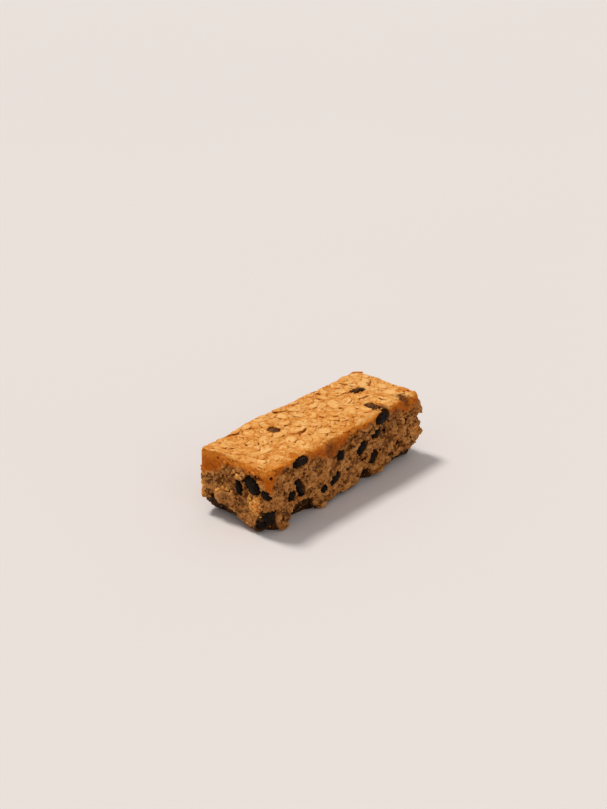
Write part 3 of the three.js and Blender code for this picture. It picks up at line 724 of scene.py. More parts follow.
def capped(p, tris, quads, planes):
    """The faces that lie in a flat cut are replaced by one polygon each."""
    caps = []
    for axis, at in planes:
        flat_ = np.abs(p[:, axis] - at) < 0.004
        gone = []
        for f in (tris, quads):
            inside = flat_[f].all(1)
            for k in range(f.shape[1]):
                gone.append(np.stack([f[inside, k], f[inside, (k + 1) % f.shape[1]]], -1))
        tris, quads = tris[~flat_[tris].all(1)], quads[~flat_[quads].all(1)]
        edges = np.concatenate(gone).astype(np.int64)
        size = len(p)
        key, back = edges[:, 0] * size + edges[:, 1], edges[:, 1] * size + edges[:, 0]
        after = {}
        for a, b in edges[~np.isin(key, back)].tolist():
            after.setdefault(a, []).append(b)
        loops = []
        while after:
            here, path, place = next(iter(after)), [], {}
            while True:
                if here in place:  # a loop is closed; the path may go on from here
                    k = place[here]
                    if len(path) - k > 2:
                        loops.append(np.array(path[k:]))
                    for v in path[k:]:
                        del place[v]
                    path = path[:k]
                if here not in after:
                    break
                place[here] = len(path)
                path.append(here)
                follow = after[here].pop()
                if not after[here]:
                    del after[here]
                here = follow
        u, v = (axis + 1) % 3, (axis + 2) % 3
        areas = [float(np.sum(p[c, u] * np.roll(p[c, v], -1) - np.roll(p[c, u], -1) * p[c, v])) for c in loops]
        most = max(areas, key=abs, default=0.0)
        caps += [c for c, area in zip(loops, areas) if area * most > 0]
    used = np.unique(np.concatenate([tris.ravel(), quads.ravel(), *caps]))
    index = np.full(len(p), -1)
    index[used] = np.arange(len(used))
    return p[used], index[tris], index[quads], [index[c] for c in caps]


def spots(p, table):
    out = np.zeros(len(p))
    for c, r, h in table:
        out = np.maximum(out, h * np.exp(-((p - np.array(c)) ** 2).sum(1) / (r * r)))
    return out


def darker_beside_raisin(p):
    """Crumb is darker right beside a raisin."""
    out = np.zeros(len(p))
    for at, r, turn, coat in RAISINS.values():
        near = np.flatnonzero(np.abs(p - np.array(at)).max(1) < max(r) * 1.6)
        far = (np.abs(((p[near] - np.array(at)) @ euler(turn)) / np.array(r)) ** BLUNT).sum(1) ** (1 / BLUNT)
        out[near] = np.maximum(out[near], 1 - smooth(1.02, 1.42, far))
    return out


def grit(p, amount):
    """Broken, clumped crumb: how far points move out, and their shade."""
    high, tone, cav = np.zeros(len(p)), np.zeros(len(p)), np.zeros(len(p))
    some = np.flatnonzero(amount > 0.01)
    v, w = p[some], amount[some]
    q = v + 0.8 * np.stack([point_noise(v, 2.1, 80 + k) for k in range(3)], -1) + 0.35 * np.stack([point_noise(v, 0.8, 86 + k) for k in range(3)], -1)
    q = q * np.array([1, 1, 1.2])
    for scale, step, dome, paint, crease, seed in ((4.1, 0.75, 0.3, 0.42, 0.25, 90), (1.7, 0.42, 0.32, 0.30, 0.2, 91), (0.85, 0.12, 0.18, 0.14, 0.1, 92)):
        first, gap, own = cells(q, scale, seed)
        own = own - 0.5
        high[some] += w * (step * own + dome * (0.4 - first**2))
        tone[some] += w * paint * own
        # painted shade: the gaps between grains and the lower grains are marked for darker colour
        cav[some] += w * (crease * (1 - smooth(0.0, 0.28, gap)) - 0.5 * step * own)
    return high, tone, cav


def recess(p):
    """1 in the broken hollow under a wall, 0 on the wall itself: where shade is painted."""
    x, y, z = p.T
    out = 1 - smooth(0.05, 0.5, z)
    left = x + LENGTH / 2 - END_SLANT * (1 - smooth(2, 18, y))
    for wall, s, depth in (("front", x, y + WIDTH / 2), ("back", x, WIDTH / 2 - y), ("left", y, left), ("right", y, LENGTH / 2 - x)):
        inset = foot_inset(wall, s, z)
        out = np.maximum(out, smooth(0.5, 1.5, inset) * smooth(0.8, 1.8, depth) * (1 - smooth(2.4, 3.8, np.abs(depth - inset))))
    return out


def holes_at(p):
    """1 inside the measured holes of the cut faces, where shade is painted."""
    out, ragged = np.zeros(len(p)), 0.22 * point_noise(p, 0.7, 17)
    for c, m, r in HOLES:
        near = np.flatnonzero(np.abs(p - c).max(1) < 3.5)
        far = np.sqrt(((((p[near] - c) @ m.T) / r) ** 2).sum(1)) + ragged[near]
        out[near] = np.maximum(out[near], 1 - smooth(0.75, 1.1, far))
    return out


def looks(p, f, n=None, **own):
    """Attributes of points by where they lie in the bar."""
    rise = p[:, 2] - top_height(p[:, 0], p[:, 1])
    worn = -19.4 + 3.6 * bell(p[:, 0], 42.5, 5.5) + span(30, 38, p[:, 0]) - p[:, 1] + 0.5 * point_noise(p, 1.3, 16)
    rise = rise - 3.0 * smooth(-0.1, 1.1, worn)
    rise = rise - (0.7 + 1.0 * bell(p[:, 0], -43, 7)) * smooth(-16.6, -18.6, p[:, 1]) + 0.45 * smooth(-46, -50, p[:, 0])
    lengthwise = smooth(-2.0, -0.8, rise) * (0.09 * smooth(15, 45, p[:, 0]) - 0.09 * smooth(-18, -45, p[:, 0]))
    out = {
        "tone": f.sample(f.tone, p) + lengthwise,
        "oat": np.clip(f.sample(f.oat, p), 0, 1),
        "edge": np.clip(f.sample(f.edge, p), 0, 1),
        "fu": f.nearest(f.fu, p),
        "fv": f.nearest(f.fv, p),
        # cav and pit say how sunken a point is, finely and broadly; the material paints shade with them
        "cav": np.clip(0.5 - f.sample(f.fine, p) * 2.6, 0, 1),
        "pit": np.clip(0.5 - f.sample(f.broad, p) * 0.9, 0, 1),
        "crust": smooth(-1.3, 1.3, p[:, 2] - crust_floor(p[:, 0], p[:, 1]) + 1.5 * point_noise(p, 1.9, 9) + 1.0 * point_noise(p, 0.8, 10)),
        "top": smooth(-1.1, -0.3, rise + 0.6 * (f.sample(f.oat, p) - 0.6) + 0.3 * point_noise(p, 1.1, 12) + 0.3 * point_noise(p, 2.9, 13)),
        "rim": np.clip((rise + 0.7 * point_noise(p, 1.9, 14) + mix(3.5, 5.2, smooth(-46, -50, p[:, 0]))) / mix(2.1, 3.4, smooth(-46, -50, p[:, 0])), 0, 1),
        # painted shade: the hollows under the walls, the underside and the cut holes
        "base": np.maximum(recess(p), holes_at(p)),
        "stain_and_shade": np.maximum(spots(p, STAINS_AND_SHADE), 0.6 * darker_beside_raisin(p)),
        "lit_spot": spots(p, PAINTED_LIGHT_SPOTS),
    }
    if n is not None:
        flat_ = smooth(0.40, 0.82, n[:, 2] + 0.15 * point_noise(p, 0.9, 15))
        out["top"] = out["top"] * np.maximum(flat_, 0.45 * smooth(-0.6, -0.15, rise))
    out.update(own)
    return out


def skin(name, f, field, planes):
    g = openvdb.FloatGrid(background=1.6)
    g.copyFromArray(np.clip(field, -1.6, 1.6).astype(F))
    p, tris, quads = g.convertToPolygons(0.0, 0.012)
    p = p.astype(float) * f.cell + f.lo
    p[(p[:, 2] < 0.9) & (whole_at(p) < -2.2), 2] = 0.0  # the underside is flat up to the cut
    p, tris, quads, caps = capped(p, tris.astype(int), quads.astype(int), planes)
    n = vertex_normals(p, [tris, quads])
    out = f.sample(f.d, p + n * 0.3) - f.sample(f.d, p - n * 0.3)
    if np.median(out) < 0:  # the faces must look outwards
        tris, quads, caps = tris[:, ::-1], quads[:, ::-1], [c[::-1] for c in caps]
        n = -n
    shade = looks(p, f, n)
    crust, topmost = f.sample(f.crust, p), f.sample(f.topmost, p)
    loose = (1 - topmost) * mix(1.0, 0.22, crust) * (1 - 0.6 * shade["oat"] * (1 - crust)) * smooth(0.1, 1.4, p[:, 2])
    high, tone, cav = grit(p, loose)
    p = p + n * high[:, None]
    shade["tone"] = shade["tone"] + tone
    shade["cav"] = np.clip(shade["cav"] + cav, 0, 1)
    return make_mesh(name, p, tris, quads, shade, caps), p, n


s_low = np.maximum(SIDE.d + 0.10 * smooth(SPLIT - 1.2, SPLIT + 0.2, SIDE.z), SIDE.z - SPLIT - 0.45)
t_top = np.maximum(TOP.d, SPLIT - 0.45 - TOP.z)
under, over, middle = (2, SPLIT - 0.45), (2, SPLIT + 0.45), 0.4
near_top, near_top_p, near_top_n = skin("oat_top_near", TOP, np.maximum(t_top, TOP.x - middle), [under, (0, middle)])
far_top, far_top_p, far_top_n = skin("oat_top_far", TOP, np.maximum(t_top + 0.08 * smooth(1.2, -0.2, TOP.x), -middle - TOP.x), [under, (0, -middle)])
near_low, near_low_p, near_low_n = skin("crumb_near", SIDE, np.maximum(s_low, SIDE.x - middle), [(2, 0.0), over, (0, middle)])
far_low, far_low_p, far_low_n = skin("crumb_far", SIDE, np.maximum(s_low + 0.08 * smooth(1.2, -0.2, SIDE.x), -middle - SIDE.x), [(2, 0.0), over, (0, -middle)])


def ball(level):
    """A sphere of triangles: unit points and faces."""
    bm = bmesh.new()
    bmesh.ops.create_icosphere(bm, subdivisions=level, radius=1.0)
    p = np.array([v.co[:] for v in bm.verts])
    f = np.array([[v.index for v in face.verts] for face in bm.faces])
    bm.free()
    return p, f


def scatter(name, unit, faces, centres, mats, attributes):
    """Copies of one small shape as a single mesh; mats hold its size and turn."""
    p = (np.einsum("vi,nij->nvj", unit, mats) + centres[:, None]).reshape(-1, 3)
    f = (faces[None] + (np.arange(len(centres)) * len(unit))[:, None, None]).reshape(-1, faces.shape[1])
    rep = {k: np.repeat(v, len(unit)) if np.ndim(v) else v for k, v in attributes.items()}
    return make_mesh(name, p, f, None, rep), p


# --- loose grains that stick to the cut sides
rng = np.random.default_rng(53)
side_p = np.concatenate([near_low_p, far_low_p])
side_n = np.concatenate([near_low_n, far_low_n])
hidden = np.array([(np.linalg.norm(((side_p - np.array(at)) @ euler(turn)) / (np.array(r) + 0.7), axis=1) < 1) for at, r, turn, _ in RAISINS.values()]).any(0)
open_face = np.flatnonzero((side_p[:, 2] > 1.0) & (whole_at(side_p) < 0.1) & (side_p[:, 2] < crust_floor(side_p[:, 0], side_p[:, 1]) + 0.5) & (side_n[:, 2] > -0.6) & ~hidden)
lit_spot_weight = spots(side_p[open_face], PAINTED_LIGHT_SPOTS) ** 3
pick = np.concatenate([rng.choice(open_face, 860, replace=False), rng.choice(open_face, 340, replace=False, p=lit_spot_weight / lit_spot_weight.sum())])
size = rng.choice([0.26, 0.40, 0.58], 1200, p=[0.42, 0.38, 0.20]) * rng.uniform(0.8, 1.2, 1200)
size[860:] *= 1.25
mats = np.array([(random_turn(rng) * (s * rng.uniform(0.7, 1.25, 3))[:, None]) for s in size])
where = side_p[pick] + side_n[pick] * (size * rng.uniform(-0.35, 0.35, 1200))[:, None]
# painted light: grains at the lit spots are painted lighter and warmer
near_lit_spot = spots(where, PAINTED_LIGHT_SPOTS)
grain_tone = np.clip(rng.normal(0.5, 0.24, 1200) + 0.35 * near_lit_spot, 0, 1)
unit, faces = ball(2)
unit = unit * (1 + 0.13 * np.sin(unit @ np.array([5.1, 3.7, 4.3]) + 1.0))[:, None]
grains, _ = scatter("crumb_grains", unit, faces, where, mats, {"tone": grain_tone, "lit_spot": near_lit_spot})

# --- syrup beads, glossy and painted pale grey: a painted highlight for glints
pick = rng.choice(open_face, 170, replace=False)
size = rng.uniform(0.13, 0.23, 170)
mats = np.array([(random_turn(rng) * (s * rng.uniform(0.8, 1.3, 3))[:, None]) for s in size])
where = side_p[pick] + side_n[pick] * (size * 0.5)[:, None]
glint_beads, _ = scatter("syrup_glint_beads", *ball(2), where, mats, {})


# --- thin loose oats: on the top, and half stuck in the sides
def oat_shape(a, b, t, ph, rings=6, parts=26, bend=-0.2, cup=-0.1, crease=0.2):
    """Points, faces and looks of one oat flake, along X, wide along Y."""
    rho = np.concatenate([[0.0], np.linspace(0, 1, rings + 1)[1:] ** 0.8])
    ang = np.arange(parts) * 2 * math.pi / parts
    out = 1 + 0.06 * np.sin(2 * ang + ph[0]) + 0.05 * np.sin(3 * ang + ph[1]) + 0.035 * np.sin(5 * ang + ph[2]) + 0.02 * np.sin(9 * ang + ph[3])
    R, A = rho[1:, None], ang[None]
    un = (R * out * np.cos(A)).ravel()
    vn = (R * out * np.sin(A)).ravel()
    un, vn = np.append(un, 0.0), np.append(vn, 0.0)
    r = np.append(np.repeat(rho[1:], parts), 0.0)
    u, v = un * a, vn * b
    mid = bend * un * un + cup * vn * vn + 0.07 * np.sin(2.1 * u + ph[0]) * np.sin(1.7 * v + ph[1])
    rib = 0.035 * np.sin(v * 7.0 + ph[2] + 0.6 * np.sin(u * 0.9)) * (1 - r**2)
    groove = crease * np.exp(-((v / 0.38) ** 2)) * np.clip(1.05 - np.abs(un), 0, 1)
    thick = t * np.sqrt(np.clip(1 - r**6, 0, 1)) * (1 - 0.25 * r**2)
    upper = np.stack([u, v, mid + thick - groove + rib], -1)
    lower = np.stack([u, v, mid - thick], -1)
    last = len(upper) - 1
    faces = []
    for i in range(rings):
        for j in range(parts):
            k = (j + 1) % parts
            if i == 0:
                faces.append((last, j, k))
            else:
                q = ((i - 1) * parts + j, i * parts + j, i * parts + k, (i - 1) * parts + k)
                faces += [(q[0], q[1], q[2]), (q[0], q[2], q[3])]
    faces = np.array(faces)
    # the lower side shares the outer ring
    n = len(upper)
    ring = set(range((rings - 1) * parts, rings * parts))
    remap = np.array([i if i in ring else n + i for i in range(n)])
    both = np.concatenate([faces, remap[faces][:, ::-1]])
    pts = np.concatenate([upper, lower])
    used = np.unique(both)
    index = np.full(len(pts), -1)
    index[used] = np.arange(len(used))
    return pts[used], index[both], np.tile(un, 2)[used], np.tile(vn, 2)[used], np.tile(r, 2)[used]


def join_oats(name, rows, field):
    """Flakes as one mesh. rows: centre, basis, a, b, t, tone, phases, bend, cup."""
    pts, fcs, at, base = [], [], {k: [] for k in ("tone", "fu", "fv", "edge")}, 0
    for c, m, a, b, t, tone_, ph, bend, cup in rows:
        p, f, un, vn, r = oat_shape(a, b, t, ph, bend=bend, cup=cup)
        q = p @ m + c
        if whole_at(q).max() > 0.5:  # it would stand too far out of the bar
            continue
        pts.append(q)
        fcs.append(f + base)
        base += len(q)
        # the outer ring of a loose oat is marked darker: its rim, partly painted shade
        for k, v in (("tone", np.full(len(q), tone_)), ("fu", un), ("fv", vn), ("edge", 0.5 * smooth(0.84, 1.0, r))):
            at[k].append(v)
    p = np.concatenate(pts)
    own = {k: np.concatenate(v) for k, v in at.items()}
    own["oat"] = np.ones(len(p))
    shade = looks(p, field, **own)
    shade["cav"] = np.clip(0.5 - field.sample(field.fine, p) * 1.6, 0.25, 0.8)
    shade["pit"] = np.clip(shade["pit"], 0.0, 0.6)
    return make_mesh(name, p, np.concatenate(fcs), None, shade)


rng = np.random.default_rng(61)
rows = []
for c, m, a, b, n, hero in OATS:
    ph, lift = rng.uniform(0, 6.28, 4), rng.uniform(0.03, 0.17)
    bend, cup = rng.uniform(-0.25, 0.1), rng.uniform(-0.15, 0.1)
    near_rim = min(LENGTH / 2 - abs(c[0]), WIDTH / 2 - abs(c[1])) < 3.2
    chance = rng.random()
    if any(np.linalg.norm(((c - np.array(at)) @ euler(turn))[:2] / (np.array(r)[:2] + 1.2)) < 1 for at, r, turn, _ in RAISINS.values()):
        continue
    if near_rim:
        continue
    if (hero and chance < 0.85) or chance < 0.38:
        tone_ = shade_of(rng, 0.76, 0.12)
        rows.append((c + m[2] * lift, basis(tilted(m[2], rng, 0.05), math.atan2(m[0][1], m[0][0])), a * 0.94, b * 0.94, 0.14, tone_, ph, bend, cup))
flakes_top = join_oats("oat_flakes", rows, TOP)
rows = []
P, N = wall_points(150, rng, 1.5, 27.0)
for p, n in zip(P, N):
    up = tilted(np.array([0, 0, 1.0]), rng, 0.5) if rng.random() < 0.4 else tilted(n, rng, 0.35)
    a = rng.uniform(1.3, 2.9)
    row = (p - n * rng.uniform(0.55, 1.5), basis(up, rng.uniform(0, 6.28)), a, a * rng.uniform(0.6, 0.8), rng.uniform(0.2, 0.3), shade_of(rng, 0.55, 0.2), rng.uniform(0, 6.28, 4), rng.uniform(-0.3, 0.2), rng.uniform(-0.2, 0.2))
    if not any(np.linalg.norm(((row[0] - np.array(at)) @ euler(turn)) / (np.array(r) + 1.6)) < 1 for at, r, turn, _ in RAISINS.values()):
        rows.append(row)
flakes_side = join_oats("oat_bits", rows, SIDE)


# ------------------------------------------------------------------ materials
class Nodes:
    """Short-hand for building a node tree."""

    def __init__(self, name):
        self.mat = bpy.data.materials.new(name)
        self.mat.use_nodes = True
        self.t = self.mat.node_tree
        self.t.nodes.clear()

    def new(self, kind, **inputs):
        props = inputs.pop("props", {})
        n = self.t.nodes.new(kind)
        for k, v in props.items():
            setattr(n, k, v)
        for k, v in inputs.items():
            self.put(n, k, v)
        return n

    def put(self, n, key, v):
        sock = n.inputs[int(key[1:])] if key[0] == "i" and key[1:].isdigit() else n.inputs[key.replace("_", " ")]
        if isinstance(v, bpy.types.NodeSocket):
            self.t.links.new(v, sock)
        else:
            sock.default_value = v

    def attr(self, name):
        n = self.new("ShaderNodeAttribute")
        n.attribute_type = "GEOMETRY"
        n.attribute_name = name
        return n.outputs["Fac"]

    def math(self, op, a, b=0.5, clamp=False):
        n = self.new("ShaderNodeMath", props={"operation": op, "use_clamp": clamp})
        self.put(n, "i0", a)
        if op not in ("ABSOLUTE", "SQRT", "SINE"):
            self.put(n, "i1", b)
        return n.outputs[0]

    def span(self, v, lo, hi, out_lo=0.0, out_hi=1.0):
        n = self.new("ShaderNodeMapRange", props={"interpolation_type": "SMOOTHSTEP"})
        for k, x in zip(("Value", "From Min", "From Max", "To Min", "To Max"), (v, lo, hi, out_lo, out_hi)):
            self.put(n, k, x)
        return n.outputs["Result"]

    def blend(self, fac, a, b, mode="MIX"):
        n = self.new("ShaderNodeMix", props={"data_type": "RGBA", "blend_type": mode, "clamp_factor": True})
        ins = [s for s in n.inputs if s.enabled]
        for s, v in zip(ins, (fac, a, b)):
            if isinstance(v, bpy.types.NodeSocket):
                self.t.links.new(v, s)
            else:
                s.default_value = v if not isinstance(v, tuple) or len(v) == 4 else (*v, 1)
        return [s for s in n.outputs if s.enabled][0]

    def noise(self, scale, detail=2.0, rough=0.5, vector=None, distortion=0.0):
        n = self.new("ShaderNodeTexNoise")
        n.inputs["Scale"].default_value = scale
        n.inputs["Detail"].default_value = detail
        n.inputs["Roughness"].default_value = rough
        n.inputs["Distortion"].default_value = distortion
        self.t.links.new(vector or self.place(), n.inputs["Vector"])
        return n.outputs["Fac"]

    def place(self):
        if not hasattr(self, "_place"):
            self._place = self.new("ShaderNodeTexCoord").outputs["Object"]
        return self._place

    def ramp(self, v, stops):
        n = self.new("ShaderNodeValToRGB")
        self.t.links.new(v, n.inputs[0])
        e = n.color_ramp.elements
        while len(e) < len(stops):
            e.new(0.5)
        for el, (pos, col) in zip(e, stops):
            el.position = pos
            el.color = (*col, 1)
        return n.outputs["Color"]

    def bump(self, height, strength, distance, normal=None):
        n = self.new("ShaderNodeBump")
        n.inputs["Strength"].default_value = strength
        n.inputs["Distance"].default_value = distance
        self.t.links.new(height, n.inputs["Height"])
        if normal is not None:
            self.t.links.new(normal, n.inputs["Normal"])
        return n.outputs["Normal"]

    def surface(self, color, rough, normal=None, **constants):
        b = self.new("ShaderNodeBsdfPrincipled")
        self.put(b, "Base Color", color if isinstance(color, bpy.types.NodeSocket) else (*color, 1))
        self.put(b, "Roughness", rough)
        if normal is not None:
            self.put(b, "Normal", normal)
        for k, v in constants.items():
            self.put(b, k.replace("_", " "), v)
        out = self.new("ShaderNodeOutputMaterial")
        self.t.links.new(b.outputs[0], out.inputs["Surface"])
        return self.mat


CRUMB = [(0.16, (0.180, 0.057, 0.0105)), (0.38, (0.350, 0.125, 0.026)), (0.60, (0.500, 0.196, 0.047)), (0.88, (0.68, 0.31, 0.090))]


def oat_material(name):
    """Baked oats and crumb: colour by where a point lies and what it is."""
    n = Nodes(name)
    tone_, oat_, cav, pit, edge = (n.attr(k) for k in ("tone", "oat", "cav", "pit", "edge"))
    crust_, top_, fu_, fv_, stain_and_shade, lit_spot, rim_, recess_shade = (n.attr(k) for k in ("crust", "top", "fu", "fv", "stain_and_shade", "lit_spot", "rim", "base"))
    patch = n.noise(330, 3, 0.62)
    blotch = n.noise(760, 3, 0.6)
    speck = n.noise(1700, 3, 0.65)
    grain = n.noise(3800, 2, 0.6)
    t = n.math("ADD", n.math("MULTIPLY", tone_, 0.62), n.math("MULTIPLY", patch, 0.42))
    t = n.math("ADD", t, n.math("MULTIPLY", n.math("SUBTRACT", speck, 0.5), 0.45))
    t = n.math("ADD", t, n.math("MULTIPLY", n.math("SUBTRACT", grain, 0.5), 0.35))
    # open crumb: dark, brown and tan blotches, with a few orange ones
    ts = n.math("ADD", t, n.math("MULTIPLY", n.math("SUBTRACT", blotch, 0.5), 1.1))
    crumb = n.ramp(ts, CRUMB)
    oatcol = n.ramp(t, [(0.2, (0.32, 0.115, 0.023)), (0.55, (0.50, 0.205, 0.052)), (0.9, (0.66, 0.31, 0.10))])
    side = n.blend(n.math("MULTIPLY", oat_, 0.5), crumb, oatcol)
    ember = n.span(n.noise(560, 2, 0.5), 0.61, 0.68)
    side = n.blend(n.math("MULTIPLY", ember, 0.5), side, (0.62, 0.18, 0.016))
    # painted light: crumb at the lit spots is painted lighter and warmer
    lit_spot_col = n.ramp(n.math("ADD", t, n.math("MULTIPLY", n.math("SUBTRACT", speck, 0.5), 0.9)), [(0.3, (0.34, 0.095, 0.008)), (0.50, (0.90, 0.31, 0.032)), (0.70, (1.0, 0.49, 0.11))])
    side = n.blend(n.math("MULTIPLY", n.math("MULTIPLY", lit_spot, 1.5), n.span(blotch, 0.42, 0.50), clamp=True), side, lit_spot_col)
    # smooth baked crust under the top edge
    band = n.ramp(t, [(0.2, (0.43, 0.091, 0.0032)), (0.55, (0.555, 0.127, 0.0057)), (0.9, (0.65, 0.18, 0.0128))])
    lit = n.ramp(t, [(0.2, (0.66, 0.175, 0.010)), (0.5, (0.82, 0.250, 0.024)), (0.8, (0.93, 0.37, 0.062))])
    band = n.blend(n.math("MULTIPLY", rim_, n.span(speck, 0.34, 0.52)), band, lit)
    side = n.blend(crust_, side, band)
    # the golden top: pale flake middles, orange between
    rho2 = n.math("ADD", n.math("MULTIPLY", fu_, fu_), n.math("MULTIPLY", fv_, fv_))
    middle = n.math("MULTIPLY", n.span(rho2, 0.05, 0.8, 1.0, 0.0), oat_)
    tt = n.math("ADD", t, n.math("MULTIPLY", middle, 0.21))
    gold = n.ramp(tt, [(0.33, (0.54, 0.146, 0.009)), (0.51, (0.69, 0.228, 0.025)), (0.685, (0.81, 0.343, 0.070)), (0.90, (0.935, 0.525, 0.182))])
    # painted shade: each oat is painted darker along its crease
    crease_shade = n.span(n.math("ABSOLUTE", fv_), 0.0, 0.12, 1.0, 0.0)
    inner = n.span(n.math("ABSOLUTE", fu_), 0.4, 0.9, 1.0, 0.0)
    crease_shade = n.math("MULTIPLY", n.math("MULTIPLY", crease_shade, inner), n.math("MULTIPLY", oat_, n.span(patch, 0.42, 0.60)))
    gold = n.blend(n.math("MULTIPLY", crease_shade, 0.5), gold, (0.56, 0.17, 0.016))
    # darker oat outlines: the oats' darker rims, and painted shade round them
    gold = n.blend(n.math("MULTIPLY", edge, 0.9), gold, (0.50, 0.130, 0.009))
    col = n.blend(top_, side, gold)
    # painted shade: crevices and pits are painted darker and redder, broad sunken places darker still, and the deepest
    # hollows near black
    crevice_shade_col = n.blend(top_, n.blend(crust_, (0.080, 0.023, 0.004, 1), (0.30, 0.060, 0.003, 1)), (0.50, 0.130, 0.010, 1))
    crevice_shade = n.span(cav, n.blend(top_, (0.60, 0.60, 0.60, 1), (0.52, 0.52, 0.52, 1)), n.blend(top_, (0.95, 0.95, 0.95, 1), (0.76, 0.76, 0.76, 1)))
    col = n.blend(n.math("MULTIPLY", crevice_shade, n.blend(top_, (0.74, 0.74, 0.74, 1), (0.46, 0.46, 0.46, 1))), col, crevice_shade_col)
    shade = n.math("MULTIPLY", n.span(pit, 0.50, 0.74), n.math("SUBTRACT", 1.0, top_))
    col = n.blend(n.math("MULTIPLY", shade, 0.22), col, (0.100, 0.029, 0.005, 1))
    # painted shade: near black in the deepest hollows
    hollow_shade = n.span(pit, 0.72, 0.95)
    col = n.blend(n.math("MULTIPLY", hollow_shade, 0.85), col, (0.022, 0.008, 0.003, 1))
    # painted highlight: bits that stand out are painted lighter
    lift = n.span(cav, 0.40, 0.12)
    raised_highlight_col = n.blend(crust_, (0.66, 0.30, 0.092, 1), (0.80, 0.25, 0.022, 1))
    col = n.blend(n.math("MULTIPLY", lift, n.blend(top_, (0.28, 0.28, 0.28, 1), (0.16, 0.16, 0.16, 1))), col, n.blend(top_, raised_highlight_col, (0.92, 0.49, 0.150, 1)))
    # darker patches: partly soaked dough, partly painted shade in hollows of the cut faces; the crumb is also darker
    # right beside the raisins
    col = n.blend(n.math("MULTIPLY", stain_and_shade, n.span(blotch, 0.30, 0.60, 1.0, 0.35), clamp=True), col, (0.14, 0.043, 0.008))
    # painted shade: the hollows under the walls, the underside and the cut holes are painted near black
    col = n.blend(n.math("MULTIPLY", recess_shade, 0.9), col, n.ramp(patch, [(0.35, (0.012, 0.005, 0.002)), (0.65, (0.036, 0.013, 0.0035))]))
    rough = n.math("ADD", n.span(speck, 0.35, 0.65, 0.52, 0.74), n.math("MULTIPLY", crevice_shade, -0.08))
    h = n.math("ADD", n.math("MULTIPLY", speck, 0.7), n.math("MULTIPLY", grain, 0.3))
    fibre = n.math("SINE", n.math("ADD", n.math("MULTIPLY", fv_, 34.0), n.math("MULTIPLY", patch, 9.0)))
    h = n.math("ADD", h, n.math("MULTIPLY", n.math("MULTIPLY", fibre, oat_), 0.08))
    normal = n.bump(h, 0.6, 0.00035)
    return n.surface(col, rough, normal, Specular_IOR_Level=0.10, Specular_Tint=(1.0, 0.74, 0.45, 1))


def grain_material(name):
    """Loose crumb grains: each has one tone, a little mottled."""
    n = Nodes(name)
    tone_, lit_spot = n.attr("tone"), n.attr("lit_spot")
    speck = n.noise(2100, 3, 0.6)
    t = n.math("ADD", n.math("MULTIPLY", tone_, 0.75), n.math("MULTIPLY", speck, 0.32))
    col = n.ramp(t, [(0.16, (0.15, 0.046, 0.008)), (0.42, (0.33, 0.118, 0.023)), (0.66, (0.48, 0.190, 0.046)), (0.92, (0.68, 0.32, 0.098))])
    lit_spot_col = n.ramp(t, [(0.3, (0.56, 0.16, 0.013)), (0.6, (0.92, 0.34, 0.042)), (0.9, (1.0, 0.54, 0.14))])
    # painted light: grains at the lit spots are painted warmer and lighter
    col = n.blend(n.math("MULTIPLY", lit_spot, 1.3, clamp=True), col, lit_spot_col)
    return n.surface(col, n.span(speck, 0.35, 0.65, 0.45, 0.70), n.bump(speck, 0.5, 0.0002), Specular_IOR_Level=0.2)


def raisin_material(name):
    n = Nodes(name)
    fold, coat = n.attr("fold"), n.attr("coat")
    patch = n.noise(380, 3, 0.55)
    fine_ = n.noise(2400, 3, 0.6)
    skin_ = n.ramp(patch, [(0.25, (0.0040, 0.0023, 0.0018)), (0.55, (0.0080, 0.0046, 0.0034)), (0.8, (0.018, 0.009, 0.006))])
    # painted highlight: the raised skin between the folds is painted a lighter brown
    skin_ = n.blend(n.span(fold, 0.72, 1.0, 0.0, 0.30), skin_, (0.026, 0.016, 0.011, 1))
    film = n.ramp(n.math("ADD", n.math("MULTIPLY", patch, 0.5), n.math("MULTIPLY", fine_, 0.5)), [(0.3, (0.045, 0.016, 0.004)), (0.5, (0.150, 0.052, 0.012)), (0.7, (0.34, 0.135, 0.034))])
    col = n.blend(n.math("MULTIPLY", coat, n.span(patch, 0.35, 0.52, 0.5, 1.5), clamp=True), skin_, film)
    # sparse lighter specks: partly sugar dust, partly a painted sheen for glints on the skin
    sugar_dust_and_sheen = n.span(n.noise(1900, 2, 0.7), 0.70, 0.78)
    col = n.blend(n.math("MULTIPLY", sugar_dust_and_sheen, 0.6), col, (0.20, 0.10, 0.045, 1))
    rough = n.span(fine_, 0.3, 0.7, 0.38, 0.66)
    normal = n.bump(n.math("ADD", n.math("MULTIPLY", patch, 0.6), n.math("MULTIPLY", fine_, 0.4)), 0.7, 0.0004)
    return n.surface(col, rough, normal, Specular_IOR_Level=0.09, Specular_Tint=(1.0, 0.82, 0.66, 1))


def glint_bead_material(name):
    # painted highlight: pale grey glossy beads stand for glints on the crumb
    n = Nodes(name)
    v = n.noise(900, 2, 0.5)
    return n.surface(n.ramp(v, [(0.3, (0.42, 0.36, 0.30)), (0.7, (0.66, 0.64, 0.62))]), n.span(v, 0.3, 0.7, 0.12, 0.28), Specular_IOR_Level=0.7)


OAT = oat_material("baked_oats")
GRAIN = grain_material("crumb_grain")
RAISIN = raisin_material("raisin_skin")
GLINT_BEAD = glint_bead_material("syrup_glint")

for o, mat in ((near_top, OAT), (far_top, OAT), (near_low, OAT), (far_low, OAT), (flakes_top, OAT), (flakes_side, OAT), (grains, GRAIN), (glint_beads, GLINT_BEAD)):
    o.data.materials.append(mat)
    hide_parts("bar")
    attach(o, "root")

